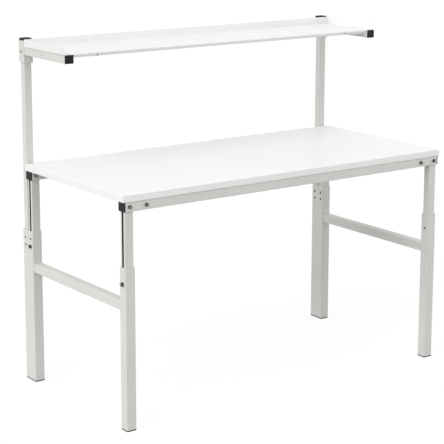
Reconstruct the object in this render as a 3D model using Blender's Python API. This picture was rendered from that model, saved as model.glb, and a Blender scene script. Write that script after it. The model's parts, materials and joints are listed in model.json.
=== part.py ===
"""Height-adjustable workbench with an upper shelf, modelled piece by piece in metres.

The bench stands on the floor at z = 0, with +X to its right and +Y to its rear. The origin is at
floor level, in the middle of the bench's length and of its overall depth.

Lower frame: two side frames, each a front and a rear outer leg joined by a cross rail, with an
upright standing in the back half of the rear leg.
Top frame: four slotted inner legs that slide in the outer legs, two beams and the worktop. A
lock screw through each outer leg draws a nut in the inner leg against the sides of its slot.
Shelf: a sleeve and an arm on each upright, with a sheet-steel tray across the arms.
"""
from math import cos
from math import pi
from math import radians
from math import sin

import bmesh
import bpy
from mathutils import Vector

# Fits
TOUCH_GAP = 0.0003
SLIDE_GAP = 0.00015
BOLT_CLEARANCE = 0.0003

# Worktop
WORKTOP_LENGTH = 1.500
WORKTOP_DEPTH = 0.700
WORKTOP_THICKNESS = 0.025
WORKTOP_HEIGHT = 0.866
WORKTOP_EDGE_RADIUS = 0.0015

# Beams under the worktop
BEAM_HEIGHT = 0.035
BEAM_DEPTH = 0.040
BEAM_WALL = 0.002
BEAM_CORNER = 0.0025
FRONT_BEAM_SETBACK = 0.0025
REAR_BEAM_OVERHANG = 0.0035
BEAM_CAP_FLANGE = 0.0045
BEAM_CAP_PLUG = 0.009
BEAM_BOLT_SPACING = 0.070

# Outer legs, which leave these gaps round what stands in them
OUTER_LEG_INSET = 0.008
OUTER_LEG_WALL = 0.0015
OUTER_LEG_CORNER = 0.003
OUTER_LEG_TOP = 0.604
LEG_SIDE_GAP = 0.001
FRONT_LEG_GAP = 0.0035
REAR_LEG_FRONT_GAP = 0.001

# Rows of holes in the sides of the outer legs, below the guides
HOLE_CLEARANCE = 0.00035
FIRST_ROW_BELOW_GUIDE = 0.00425
ROW_PITCH = 0.030

# Inner legs
INNER_LEG_WIDTH = 0.035
INNER_LEG_DEPTH = 0.030
INNER_LEG_WALL = 0.002
INNER_LEG_LENGTH = 0.520
SLOT_CLEARANCE = 0.001

# Head of an inner leg, which lies in the beam on a stem that is welded inside the leg
HEAD_WALL = 0.003
HEAD_END_MARGIN = 0.012
STEM_WIDTH = 0.010
STEM_DEPTH = 0.022
STEM_DROP = 0.040
WELD_DEPTH = 0.001

# Plastic guides in the tops of the outer legs
GUIDE_HEIGHT = 0.020
GUIDE_DROP = 0.001

# Glides under the outer legs
GLIDE_HEIGHT = 0.0045
GLIDE_PLUG = 0.020
PLUG_WALL = 0.0025

# Cross rails
CROSS_RAIL_HEIGHT = 0.035
CROSS_RAIL_WIDTH = 0.035
CROSS_RAIL_WALL = 0.0015
CROSS_RAIL_CORNER = 0.0025
CROSS_RAIL_BOTTOM = 0.444

# Cap screws, with a round head and a hexagon socket, the lock screws on a washer
SHANK_RADIUS = 0.004
SHANK_END = 0.002
SCREW_HEAD_RADIUS = 0.0065
SCREW_HEAD_CHAMFER = 0.0006
SOCKET_FLATS = 0.006
SOCKET_DEPTH = 0.003
BEAM_SCREW_HEAD_HEIGHT = 0.0055
LOCK_SCREW_HEAD_HEIGHT = 0.008
WASHER_MARGIN = 0.0015
WASHER_THICKNESS = 0.0016

# Shape of the tray screws' heads, as shares of the size that each one follows
SOCKET_RIM_RADIUS = 0.62
PAN_CROWN_RADIUS = 0.85
PAN_CROWN_HEIGHT = 0.8
PAN_SOCKET_FLOOR = 0.4

# Nuts that the lock screws pull against the slots of the inner legs
LOCK_NUT_GAP = 0.001
LOCK_NUT_THICKNESS = 0.008

# Set screws
SET_SCREW_RADIUS = 0.0044
SET_SCREW_RECESS = 0.0008
SET_SCREW_SOCKET = 0.0018

# Uprights
UPRIGHT_SIZE = 0.030
UPRIGHT_WALL = 0.0015
UPRIGHT_CORNER = 0.002
UPRIGHT_TOP = 1.336
UPRIGHT_IN_LEG = 0.200
UPRIGHT_SIDE_GAP = 0.002
UPRIGHT_FRONT_GAP = 0.004
UPRIGHT_BACK_GAP = 0.002
UPRIGHT_CAP_OVERHANG = 0.003
UPRIGHT_CAP_HEIGHT = 0.009
UPRIGHT_CAP_CHAMFER = 0.002
UPRIGHT_CAP_PLUG = 0.012

# Sleeves that carry the shelf arms on the uprights
SLEEVE_WALL = 0.0046
SLEEVE_HEIGHT = 0.085
SLEEVE_GAP = 0.0004
SLEEVE_CORNER = 0.0025
SLEEVE_CHAMFER = 0.013

# Shelf arms
ARM_DROP = 0.0245
ARM_WIDTH = 0.035
ARM_HEIGHT = 0.030
ARM_WALL = 0.002
ARM_CORNER = 0.0025
ARM_LENGTH = 0.302
ARM_CAP_FLANGE = 0.0015
ARM_CAP_OVERHANG = 0.001
ARM_CAP_PLUG = 0.014

# Shelf tray
SHEET = 0.0015
TRAY_RIM = 0.028
TRAY_LIP = 0.0135
TRAY_LIP_SLOPE = 0.005
TRAY_SETBACK = 0.009
TRAY_SIDE_OVERHANG = 0.003
TRAY_REAR_GAP = 0.0005
LIP_HOLE_RADIUS = 0.0045
LIP_HOLE_INSET = 0.108
TRAY_SCREW_SETBACK = 0.103
TRAY_SCREW_RADIUS = 0.00175
TRAY_SCREW_CLEARANCE = 0.0002
TRAY_SCREW_HEAD_RADIUS = 0.0034
TRAY_SCREW_HEAD_HEIGHT = 0.0022
TRAY_SCREW_SOCKET_FLATS = 0.0025

# Least corner radius of a plug or of a tube inside another
SMALL_CORNER = 0.0004

# Steps on the round forms
CORNER_STEPS = 3
ROUND_STEPS = 12
NUT_STEPS = 16

SIDES = (("left", -1), ("right", 1))

# Sizes that follow from what a piece holds
WASHER_RADIUS = SCREW_HEAD_RADIUS + WASHER_MARGIN
HOLE_RADIUS = max(SHANK_RADIUS, SET_SCREW_RADIUS) + HOLE_CLEARANCE
INNER_LEG_SLOT = 2 * (SHANK_RADIUS + SLOT_CLEARANCE)
LOCK_NUT_SIZE = INNER_LEG_DEPTH - 2 * (INNER_LEG_WALL + LOCK_NUT_GAP)
LEG_INSIDE = max(INNER_LEG_WIDTH + 2 * LEG_SIDE_GAP, UPRIGHT_SIZE + 2 * UPRIGHT_SIDE_GAP)
OUTER_LEG_WIDTH = LEG_INSIDE + 2 * OUTER_LEG_WALL
FRONT_LEG_DEPTH = INNER_LEG_DEPTH + 2 * (FRONT_LEG_GAP + OUTER_LEG_WALL)
SLEEVE_SIZE = UPRIGHT_SIZE + 2 * (SLEEVE_GAP + SLEEVE_WALL)
UPRIGHT_CAP_SIZE = UPRIGHT_SIZE + 2 * UPRIGHT_CAP_OVERHANG

# Levels
BEAM_TOP = WORKTOP_HEIGHT - WORKTOP_THICKNESS - TOUCH_GAP
BEAM_MIDDLE = BEAM_TOP - BEAM_HEIGHT / 2
BEAM_BOTTOM = BEAM_TOP - BEAM_HEIGHT
INNER_LEG_TOP = BEAM_BOTTOM - TOUCH_GAP
GUIDE_TOP = OUTER_LEG_TOP - GUIDE_DROP
FIRST_ROW = GUIDE_TOP - GUIDE_HEIGHT - FIRST_ROW_BELOW_GUIDE - HOLE_RADIUS
LOCK_LEVEL = FIRST_ROW - ROW_PITCH
SLEEVE_TOP = UPRIGHT_TOP - TOUCH_GAP
ARM_TOP = SLEEVE_TOP - ARM_DROP
TRAY_FLOOR_BOTTOM = ARM_TOP + TOUCH_GAP
SHELF_TOP = TRAY_FLOOR_BOTTOM + SHEET

# Places across the bench, measured from its middle to the right
LEG_X = WORKTOP_LENGTH / 2 - OUTER_LEG_INSET - OUTER_LEG_WIDTH / 2
BEAM_END_X = LEG_X + INNER_LEG_WIDTH / 2
HEAD_OUTER_X = BEAM_END_X - BEAM_CAP_PLUG - TOUCH_GAP
INNER_BOLT_X = LEG_X - BEAM_BOLT_SPACING
HEAD_INNER_X = INNER_BOLT_X - HEAD_END_MARGIN
STEM_X = LEG_X - INNER_LEG_WIDTH / 2 + INNER_LEG_WALL - WELD_DEPTH + STEM_WIDTH / 2
TRAY_END_X = LEG_X + ARM_WIDTH / 2 + TRAY_SIDE_OVERHANG

# Places from front to rear, first measured from the worktop's front edge
FRONT_LEG_PLACE = FRONT_BEAM_SETBACK + BEAM_DEPTH / 2
REAR_INNER_PLACE = WORKTOP_DEPTH + REAR_BEAM_OVERHANG - BEAM_DEPTH / 2
REAR_LEG_FRONT_PLACE = REAR_INNER_PLACE - INNER_LEG_DEPTH / 2 - REAR_LEG_FRONT_GAP - OUTER_LEG_WALL
UPRIGHT_PLACE = WORKTOP_DEPTH + REAR_BEAM_OVERHANG + UPRIGHT_FRONT_GAP + UPRIGHT_SIZE / 2
REAR_LEG_REAR_PLACE = UPRIGHT_PLACE + UPRIGHT_SIZE / 2 + UPRIGHT_BACK_GAP + OUTER_LEG_WALL
REAR_LEG_DEPTH = REAR_LEG_REAR_PLACE - REAR_LEG_FRONT_PLACE
BOLT_FRONT_PLACE = FRONT_BEAM_SETBACK - TOUCH_GAP - BEAM_SCREW_HEAD_HEIGHT
FRONT_PLACE = min(BOLT_FRONT_PLACE, 0)
REAR_PLACE = max(UPRIGHT_PLACE + SLEEVE_SIZE / 2, REAR_LEG_REAR_PLACE)

WORKTOP_FRONT_Y = -(FRONT_PLACE + REAR_PLACE) / 2
FRONT_LEG_Y = WORKTOP_FRONT_Y + FRONT_LEG_PLACE
REAR_INNER_Y = WORKTOP_FRONT_Y + REAR_INNER_PLACE
REAR_LEG_FRONT_Y = WORKTOP_FRONT_Y + REAR_LEG_FRONT_PLACE
REAR_LEG_Y = REAR_LEG_FRONT_Y + REAR_LEG_DEPTH / 2
UPRIGHT_Y = WORKTOP_FRONT_Y + UPRIGHT_PLACE
SLEEVE_FRONT_Y = UPRIGHT_Y - SLEEVE_SIZE / 2
ARM_REAR_Y = SLEEVE_FRONT_Y - TOUCH_GAP
ARM_FRONT_Y = ARM_REAR_Y - ARM_LENGTH
TRAY_FRONT_Y = ARM_FRONT_Y - ARM_CAP_FLANGE - TOUCH_GAP + TRAY_SETBACK
TRAY_REAR_Y = SLEEVE_FRONT_Y - TRAY_REAR_GAP
TRAY_SCREW_Y = TRAY_FRONT_Y + TRAY_SCREW_SETBACK

LEG_PLACES = (("front", FRONT_LEG_Y), ("rear", REAR_INNER_Y))


# Materials

def material(name, color, roughness, metallic=0.0):
    made = bpy.data.materials.new(name)
    made.use_nodes = True
    shader = made.node_tree.nodes["Principled BSDF"]
    shader.inputs["Base Color"].default_value = (*color, 1.0)
    shader.inputs["Roughness"].default_value = roughness
    shader.inputs["Metallic"].default_value = metallic
    return made


def make_materials():
    return {
        "laminate": material("worktop_laminate", (0.86, 0.86, 0.85), 0.35),
        "frame": material("frame_powder_coat", (0.66, 0.66, 0.63), 0.45),
        "tray": material("tray_powder_coat", (0.84, 0.84, 0.83), 0.40),
        "black_plastic": material("black_plastic", (0.015, 0.015, 0.014), 0.45),
        "guide_plastic": material("guide_plastic", (0.60, 0.60, 0.57), 0.50),
        "zinc": material("zinc_plated_steel", (0.30, 0.30, 0.30), 0.30, 1.0),
        "black_steel": material("blackened_steel", (0.02, 0.02, 0.02), 0.40, 0.6),
    }


# Outlines and solids

def rounded_rectangle(width, depth, radius, steps=CORNER_STEPS):
    """Points of a rectangle with round corners, anticlockwise."""
    points = []
    centres = (
        (width / 2 - radius, depth / 2 - radius),
        (radius - width / 2, depth / 2 - radius),
        (radius - width / 2, radius - depth / 2),
        (width / 2 - radius, radius - depth / 2),
    )
    for corner, (across, along) in enumerate(centres):
        for step in range(steps + 1):
            angle = pi / 2 * (corner + step / steps)
            points.append((across + radius * cos(angle), along + radius * sin(angle)))
    return points


def tube_outlines(width, depth, wall, corner):
    """The outer and the inner outline of a rectangular tube."""
    inner_corner = max(corner - wall, SMALL_CORNER)
    inner = rounded_rectangle(width - 2 * wall, depth - 2 * wall, inner_corner)
    return rounded_rectangle(width, depth, corner), inner


def circle(radius, steps=ROUND_STEPS):
    return [(radius * cos(2 * pi * k / steps), radius * sin(2 * pi * k / steps)) for k in range(steps)]


def hexagon(across_flats, steps=ROUND_STEPS):
    """Points round a hexagon, as many as round a circle."""
    points = []
    for k in range(steps):
        angle = 2 * pi * k / steps
        off_corner = angle % (pi / 3) - pi / 6
        radius = across_flats / 2 / cos(off_corner)
        points.append((radius * cos(angle), radius * sin(angle)))
    return points


def square_ring(size, steps):
    """Points round a square, at the angles of a circle's points, corners among them."""
    points = []
    for k in range(steps):
        angle = 2 * pi * k / steps
        reach = size / 2 / max(abs(cos(angle)), abs(sin(angle)))
        points.append((reach * cos(angle), reach * sin(angle)))
    return points


def section(outline, level, axis="Z"):
    """An outline set at a level along an axis."""
    if axis == "X":
        return [(level, u, v) for u, v in outline]
    if axis == "Y":
        return [(u, level, v) for u, v in outline]
    return [(u, v, level) for u, v in outline]


def skin(rings, closed=False):
    """Vertices and faces of a solid through rings of as many points each."""
    count = len(rings[0])
    vertices = [point for ring in rings for point in ring]
    faces = []
    bands = len(rings) if closed else len(rings) - 1
    for band in range(bands):
        low = band * count
        high = (band + 1) % len(rings) * count
        for k in range(count):
            after = (k + 1) % count
            faces.append((low + k, low + after, high + after, high + k))
    if not closed:
        faces.append(tuple(range(count)))
        faces.append(tuple(len(vertices) - 1 - k for k in range(count)))
    return vertices, faces


def tube_shape(outer, inner, start, end, axis="Z"):
    rings = [
        section(outer, start, axis),
        section(outer, end, axis),
        section(inner, end, axis),
        section(inner, start, axis),
    ]
    return skin(rings, closed=True)


def prism_shape(outline, start, end, axis="Z"):
    return skin([section(outline, start, axis), section(outline, end, axis)])


def block_shape(low, high):
    """A plain block between two corners."""
    outline = [(low[0], low[1]), (high[0], low[1]), (high[0], high[1]), (low[0], high[1])]
    return prism_shape(outline, low[2], high[2])


def joined(shapes):
    """Several shapes as one list of vertices and one of faces."""
    vertices = []
    faces = []
    for shape_vertices, shape_faces in shapes:
        start = len(vertices)
        vertices += shape_vertices
        faces += [tuple(start + k for k in face) for face in shape_faces]
    return vertices, faces


def stepped_shape(filled, *cuts):
    """One solid from the cells of a grid: cuts holds the planes along X, Y and Z."""
    vertices = {}
    faces = []
    inside = set(filled)
    for cell in filled:
        for axis in range(3):
            for side in (0, 1):
                beside = list(cell)
                beside[axis] += 2 * side - 1
                if tuple(beside) in inside:
                    continue
                across, along = [k for k in range(3) if k != axis]
                face = []
                for shift_across, shift_along in ((0, 0), (1, 0), (1, 1), (0, 1)):
                    corner = list(cell)
                    corner[axis] += side
                    corner[across] += shift_across
                    corner[along] += shift_along
                    face.append(vertices.setdefault(tuple(corner), len(vertices)))
                faces.append(tuple(face))
    points = [tuple(cuts[axis][corner[axis]] for axis in range(3)) for corner in vertices]
    return points, faces


def shifted(shape, offset):
    """The same shape in another place."""
    vertices, faces = shape
    return [tuple(Vector(point) + Vector(offset)) for point in vertices], faces


# Objects

def add_object(name, shape, finish, parent, location=(0, 0, 0), smooth=False):
    mesh = bpy.data.meshes.new(name)
    vertices, faces = shape
    mesh.from_pydata(vertices, [], faces)
    work = bmesh.new()
    work.from_mesh(mesh)
    bmesh.ops.recalc_face_normals(work, faces=work.faces)
    bmesh.ops.dissolve_limit(work, angle_limit=radians(0.5), verts=work.verts, edges=work.edges)
    work.to_mesh(mesh)
    work.free()
    if smooth:
        mesh.shade_smooth()
        mesh.set_sharp_from_angle(angle=radians(40))
    piece = bpy.data.objects.new(name, mesh)
    bpy.context.scene.collection.objects.link(piece)
    piece.location = location
    piece.parent = parent
    if finish:
        mesh.materials.append(finish)
    return piece


def add_axis(name):
    """An empty that carries the pieces of one moving frame."""
    empty = bpy.data.objects.new(name, None)
    bpy.context.scene.collection.objects.link(empty)
    return empty


def combine(piece, shape, operation):
    """Cuts a shape out of a piece, or welds it on."""
    tool = add_object(f"{piece.name}_{operation.lower()}", shape, None, piece.parent, piece.location)
    tool.hide_render = True
    tool.display_type = "WIRE"
    modifier = piece.modifiers.new(operation.title(), "BOOLEAN")
    modifier.operation = operation
    modifier.solver = "EXACT"
    modifier.object = tool
    return tool


def cylinder_shape(centre, axis, radius, length):
    """A cylinder along X, Y or Z, for a hole."""
    order = {"X": (0, 1, 2), "Y": (1, 0, 2), "Z": (2, 0, 1)}[axis]
    rings = []
    for end in (-length / 2, length / 2):
        ring = []
        for u, v in circle(radius):
            point = list(centre)
            point[order[0]] += end
            point[order[1]] += u
            point[order[2]] += v
            ring.append(tuple(point))
        rings.append(ring)
    return skin(rings)


# Fasteners

def cap_screw(name, finish, parent, seat, direction, length, head_height, washer=0.0):
    """A cap screw: seat is the middle of the underside of its head, or of its washer if it has one."""
    head_top = washer + head_height
    rings = [section(circle(SHANK_RADIUS), -length), section(circle(SHANK_RADIUS), 0)]
    if washer:
        rings += [section(circle(WASHER_RADIUS), 0), section(circle(WASHER_RADIUS), washer)]
    rings += [
        section(circle(SCREW_HEAD_RADIUS), washer),
        section(circle(SCREW_HEAD_RADIUS), head_top - SCREW_HEAD_CHAMFER),
        section(circle(SCREW_HEAD_RADIUS - SCREW_HEAD_CHAMFER), head_top),
        section(hexagon(SOCKET_FLATS), head_top),
        section(hexagon(SOCKET_FLATS), head_top - SOCKET_DEPTH),
    ]
    screw = add_object(name, skin(rings), finish, parent, seat, smooth=True)
    turn_to(screw, direction)
    return screw


def set_screw(name, finish, parent, outer_end, direction, length):
    """A headless screw: outer_end is the middle of the end that the key goes into."""
    socket_flats = SET_SCREW_RADIUS
    rings = [
        section(circle(SET_SCREW_RADIUS), -length),
        section(circle(SET_SCREW_RADIUS), 0),
        section(hexagon(socket_flats), 0),
        section(hexagon(socket_flats), -SET_SCREW_SOCKET),
    ]
    screw = add_object(name, skin(rings), finish, parent, outer_end, smooth=True)
    turn_to(screw, direction)
    return screw


def turn_to(piece, direction):
    """Turns a piece made along +Z to point another way."""
    piece.rotation_mode = "QUATERNION"
    piece.rotation_quaternion = Vector((0, 0, 1)).rotation_difference(Vector(direction))


# Lower frame

def outer_leg(name, finish, parent, centre, depth, hole_columns):
    """A tube with rows of holes through both sides, below its open top."""
    outlines = tube_outlines(OUTER_LEG_WIDTH, depth, OUTER_LEG_WALL, OUTER_LEG_CORNER)
    shape = tube_shape(*outlines, GLIDE_HEIGHT + TOUCH_GAP, OUTER_LEG_TOP)
    leg = add_object(name, shape, finish, parent, (*centre, 0))
    holes = []
    for column, levels in hole_columns:
        for level in levels:
            middle = (0, column - centre[1], level)
            holes.append(cylinder_shape(middle, "X", HOLE_RADIUS, 2 * OUTER_LEG_WIDTH))
    combine(leg, joined(holes), "DIFFERENCE")
    return leg


def plug_rings(outer, inner, start, end, floor, axis):
    """Rings of a hollow plug from the flange at start to its open end."""
    return [
        section(outer, start, axis),
        section(outer, end, axis),
        section(inner, end, axis),
        section(inner, floor, axis),
    ]


def plug_outlines(width, depth, wall, corner):
    """Outlines of a hollow plug that fits a tube of this outer size."""
    fit = 2 * (wall + SLIDE_GAP)
    outer = rounded_rectangle(width - fit, depth - fit, max(corner - wall, SMALL_CORNER))
    shrink = fit + 2 * PLUG_WALL
    inner = rounded_rectangle(width - shrink, depth - shrink, SMALL_CORNER)
    return outer, inner


def foot_glide(name, finish, parent, centre, depth):
    """A black foot with a hollow plug that is pressed into the leg's end."""
    flange = rounded_rectangle(OUTER_LEG_WIDTH, depth, OUTER_LEG_CORNER)
    outer, inner = plug_outlines(OUTER_LEG_WIDTH, depth, OUTER_LEG_WALL, OUTER_LEG_CORNER)
    rings = [section(flange, 0), section(flange, GLIDE_HEIGHT)]
    rings += plug_rings(outer, inner, GLIDE_HEIGHT, GLIDE_HEIGHT + GLIDE_PLUG, GLIDE_HEIGHT, "Z")
    return add_object(name, skin(rings), finish, parent, (*centre, 0))


def leg_guide(name, finish, parent, centre, depth, pockets):
    """A plastic guide in the leg's top, with a pocket for each tube that it holds."""
    fit = 2 * (OUTER_LEG_WALL + SLIDE_GAP)
    corner = max(OUTER_LEG_CORNER - OUTER_LEG_WALL, SMALL_CORNER)
    outline = rounded_rectangle(OUTER_LEG_WIDTH - fit, depth - fit, corner)
    shape = prism_shape(outline, GUIDE_TOP - GUIDE_HEIGHT, GUIDE_TOP)
    guide = add_object(name, shape, finish, parent, (*centre, 0))
    cuts = []
    for middle, width, length in pockets:
        half_width = width / 2 + SLIDE_GAP
        half_length = length / 2 + SLIDE_GAP
        place = middle - centre[1]
        low = (-half_width, place - half_length, GUIDE_TOP - 2 * GUIDE_HEIGHT)
        high = (half_width, place + half_length, GUIDE_TOP + GUIDE_HEIGHT)
        cuts.append(block_shape(low, high))
    combine(guide, joined(cuts), "DIFFERENCE")
    return guide


def cross_rail(name, finish, parent, x):
    """The square tube between the front and the rear leg of one side."""
    outlines = tube_outlines(CROSS_RAIL_WIDTH, CROSS_RAIL_HEIGHT, CROSS_RAIL_WALL, CROSS_RAIL_CORNER)
    start = FRONT_LEG_Y + FRONT_LEG_DEPTH / 2 + TOUCH_GAP
    end = REAR_LEG_FRONT_Y - TOUCH_GAP
    middle = CROSS_RAIL_BOTTOM + CROSS_RAIL_HEIGHT / 2
    return add_object(name, tube_shape(*outlines, start, end, "Y"), finish, parent, (x, 0, middle))


def lock_nut(name, finish, parent, side, y):
    """The square nut behind the slot, with its hole along X."""
    inner_face = LEG_X + INNER_LEG_WIDTH / 2 - INNER_LEG_WALL - TOUCH_GAP
    start = side * inner_face
    end = side * (inner_face - LOCK_NUT_THICKNESS)
    outer = square_ring(LOCK_NUT_SIZE, NUT_STEPS)
    hole = circle(SHANK_RADIUS + BOLT_CLEARANCE, NUT_STEPS)
    return add_object(name, tube_shape(outer, hole, start, end, "X"), finish, parent, (0, y, LOCK_LEVEL))


def upright(name, finish, parent, side):
    """The square post that stands in the back half of the rear leg."""
    outlines = tube_outlines(UPRIGHT_SIZE, UPRIGHT_SIZE, UPRIGHT_WALL, UPRIGHT_CORNER)
    shape = tube_shape(*outlines, OUTER_LEG_TOP - UPRIGHT_IN_LEG, UPRIGHT_TOP)
    return add_object(name, shape, finish, parent, (side * LEG_X, UPRIGHT_Y, 0))


def upright_cap(name, finish, parent, side):
    """The black cap on the upright, wider than the post, so that it stops the sleeve."""
    rim = rounded_rectangle(UPRIGHT_CAP_SIZE, UPRIGHT_CAP_SIZE, UPRIGHT_CORNER)
    crown_size = UPRIGHT_CAP_SIZE - 2 * UPRIGHT_CAP_CHAMFER
    crown = rounded_rectangle(crown_size, crown_size, UPRIGHT_CORNER)
    outer, inner = plug_outlines(UPRIGHT_SIZE, UPRIGHT_SIZE, UPRIGHT_WALL, UPRIGHT_CORNER)
    bottom = UPRIGHT_TOP + TOUCH_GAP
    top = bottom + UPRIGHT_CAP_HEIGHT
    rings = [
        section(crown, top),
        section(rim, top - UPRIGHT_CAP_CHAMFER),
        section(rim, bottom),
    ]
    rings += plug_rings(outer, inner, bottom, bottom - UPRIGHT_CAP_PLUG, bottom, "Z")
    return add_object(name, skin(rings), finish, parent, (side * LEG_X, UPRIGHT_Y, 0))


def make_lower_frame(finishes):
    parent = add_axis("lower_frame")
    inner_leg_pocket = (INNER_LEG_WIDTH, INNER_LEG_DEPTH)
    for side_name, side in SIDES:
        x = side * LEG_X
        front = (x, FRONT_LEG_Y)
        rear = (x, REAR_LEG_Y)
        both_rows = (FIRST_ROW, LOCK_LEVEL)
        front_columns = ((FRONT_LEG_Y, (LOCK_LEVEL,)),)
        rear_columns = ((REAR_INNER_Y, both_rows), (UPRIGHT_Y, both_rows))
        frame = finishes["frame"]
        outer_leg(f"outer_leg_front_{side_name}", frame, parent, front, FRONT_LEG_DEPTH, front_columns)
        outer_leg(f"outer_leg_rear_{side_name}", frame, parent, rear, REAR_LEG_DEPTH, rear_columns)
        cross_rail(f"cross_rail_{side_name}", frame, parent, x)

        black = finishes["black_plastic"]
        foot_glide(f"foot_glide_front_{side_name}", black, parent, front, FRONT_LEG_DEPTH)
        foot_glide(f"foot_glide_rear_{side_name}", black, parent, rear, REAR_LEG_DEPTH)

        guide = finishes["guide_plastic"]
        front_pockets = ((FRONT_LEG_Y, *inner_leg_pocket),)
        rear_pockets = ((REAR_INNER_Y, *inner_leg_pocket), (UPRIGHT_Y, UPRIGHT_SIZE, UPRIGHT_SIZE))
        leg_guide(f"leg_guide_front_{side_name}", guide, parent, front, FRONT_LEG_DEPTH, front_pockets)
        leg_guide(f"leg_guide_rear_{side_name}", guide, parent, rear, REAR_LEG_DEPTH, rear_pockets)

        outward = (side, 0, 0)
        zinc = finishes["zinc"]
        leg_face = LEG_X + OUTER_LEG_WIDTH / 2
        nut_inner_face = LEG_X + INNER_LEG_WIDTH / 2 - INNER_LEG_WALL - TOUCH_GAP - LOCK_NUT_THICKNESS
        shank = leg_face + TOUCH_GAP - nut_inner_face + SHANK_END
        for place, y in LEG_PLACES:
            seat = (side * (leg_face + TOUCH_GAP), y, LOCK_LEVEL)
            lock_nut(f"lock_nut_{place}_{side_name}", zinc, parent, side, y)
            screw = f"lock_screw_{place}_{side_name}"
            cap_screw(screw, zinc, parent, seat, outward, shank, LOCK_SCREW_HEAD_HEIGHT, WASHER_THICKNESS)

        upright(f"upright_{side_name}", frame, parent, side)
        upright_cap(f"upright_cap_{side_name}", black, parent, side)
        steel = finishes["black_steel"]
        length = (OUTER_LEG_WIDTH - UPRIGHT_SIZE) / 2 - SET_SCREW_RECESS - TOUCH_GAP
        for row, level in (("upper", FIRST_ROW), ("lower", LOCK_LEVEL)):
            outer_end = (side * (leg_face - SET_SCREW_RECESS), UPRIGHT_Y, level)
            set_screw(f"upright_screw_{row}_{side_name}", steel, parent, outer_end, outward, length)


# Top frame

def inner_leg(name, finish, parent, side, y):
    """A channel with its slot outwards, and a head tube on a stem that goes into the beam."""
    half_width = INNER_LEG_WIDTH / 2
    half_depth = INNER_LEG_DEPTH / 2
    half_slot = INNER_LEG_SLOT / 2
    wall = INNER_LEG_WALL
    one_half = [
        (half_width, half_slot),
        (half_width, half_depth),
        (-half_width, half_depth),
        (-half_width, -half_depth),
        (half_width, -half_depth),
        (half_width, -half_slot),
        (half_width - wall, -half_slot),
        (half_width - wall, wall - half_depth),
        (wall - half_width, wall - half_depth),
        (wall - half_width, half_depth - wall),
        (half_width - wall, half_depth - wall),
        (half_width - wall, half_slot),
    ]
    outline = [(side * u, v) for u, v in one_half]
    bottom = INNER_LEG_TOP - INNER_LEG_LENGTH
    centre = (side * LEG_X, y, 0)
    leg = add_object(name, prism_shape(outline, bottom, INNER_LEG_TOP), finish, parent, centre)

    stem_middle = side * (STEM_X - LEG_X)
    low = (stem_middle - STEM_WIDTH / 2, -STEM_DEPTH / 2, INNER_LEG_TOP - STEM_DROP)
    stem_top = BEAM_BOTTOM + BEAM_WALL + TOUCH_GAP + WELD_DEPTH
    high = (stem_middle + STEM_WIDTH / 2, STEM_DEPTH / 2, stem_top)
    combine(leg, block_shape(low, high), "UNION")

    fit = 2 * (BEAM_WALL + TOUCH_GAP)
    head_depth = BEAM_DEPTH - fit
    head_height = BEAM_HEIGHT - fit
    outlines = tube_outlines(head_depth, head_height, HEAD_WALL, SMALL_CORNER)
    start = side * (HEAD_OUTER_X - LEG_X)
    end = side * (HEAD_INNER_X - LEG_X)
    head = shifted(tube_shape(*outlines, start, end, "X"), (0, 0, BEAM_MIDDLE))
    combine(leg, head, "UNION")

    holes = []
    for bolt_x in (LEG_X, INNER_BOLT_X):
        front_wall = (side * (bolt_x - LEG_X), -head_depth / 2, BEAM_MIDDLE)
        holes.append(cylinder_shape(front_wall, "Y", SHANK_RADIUS + BOLT_CLEARANCE, 3 * HEAD_WALL))
    combine(leg, joined(holes), "DIFFERENCE")
    return leg


def beam(name, finish, parent, y):
    """A tube along the worktop, with bolt holes in its front and a hole below for each leg's stem."""
    outlines = tube_outlines(BEAM_DEPTH, BEAM_HEIGHT, BEAM_WALL, BEAM_CORNER)
    shape = tube_shape(*outlines, -BEAM_END_X, BEAM_END_X, "X")
    made = add_object(name, shape, finish, parent, (0, y, BEAM_MIDDLE))
    cuts = []
    for _, side in SIDES:
        for bolt_x in (LEG_X, INNER_BOLT_X):
            front_wall = (side * bolt_x, -BEAM_DEPTH / 2, 0)
            cuts.append(cylinder_shape(front_wall, "Y", SHANK_RADIUS + BOLT_CLEARANCE, 4 * BEAM_WALL))
        half_width = STEM_WIDTH / 2 + TOUCH_GAP
        half_depth = STEM_DEPTH / 2 + TOUCH_GAP
        wall_middle = BEAM_WALL / 2 - BEAM_HEIGHT / 2
        low = (side * STEM_X - half_width, -half_depth, wall_middle - BEAM_WALL)
        high = (side * STEM_X + half_width, half_depth, wall_middle + BEAM_WALL)
        cuts.append(block_shape(low, high))
    combine(made, joined(cuts), "DIFFERENCE")
    return made


def beam_cap(name, finish, parent, side, y):
    """The black cap that closes a beam's end."""
    flange = rounded_rectangle(BEAM_DEPTH, BEAM_HEIGHT, BEAM_CORNER)
    outer, inner = plug_outlines(BEAM_DEPTH, BEAM_HEIGHT, BEAM_WALL, BEAM_CORNER)
    seat = BEAM_END_X + TOUCH_GAP
    rings = [
        section(flange, side * (seat + BEAM_CAP_FLANGE), "X"),
        section(flange, side * seat, "X"),
    ]
    plug_end = side * (BEAM_END_X - BEAM_CAP_PLUG)
    rings += plug_rings(outer, inner, side * seat, plug_end, side * seat, "X")
    return add_object(name, skin(rings), finish, parent, (0, y, BEAM_MIDDLE))


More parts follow.
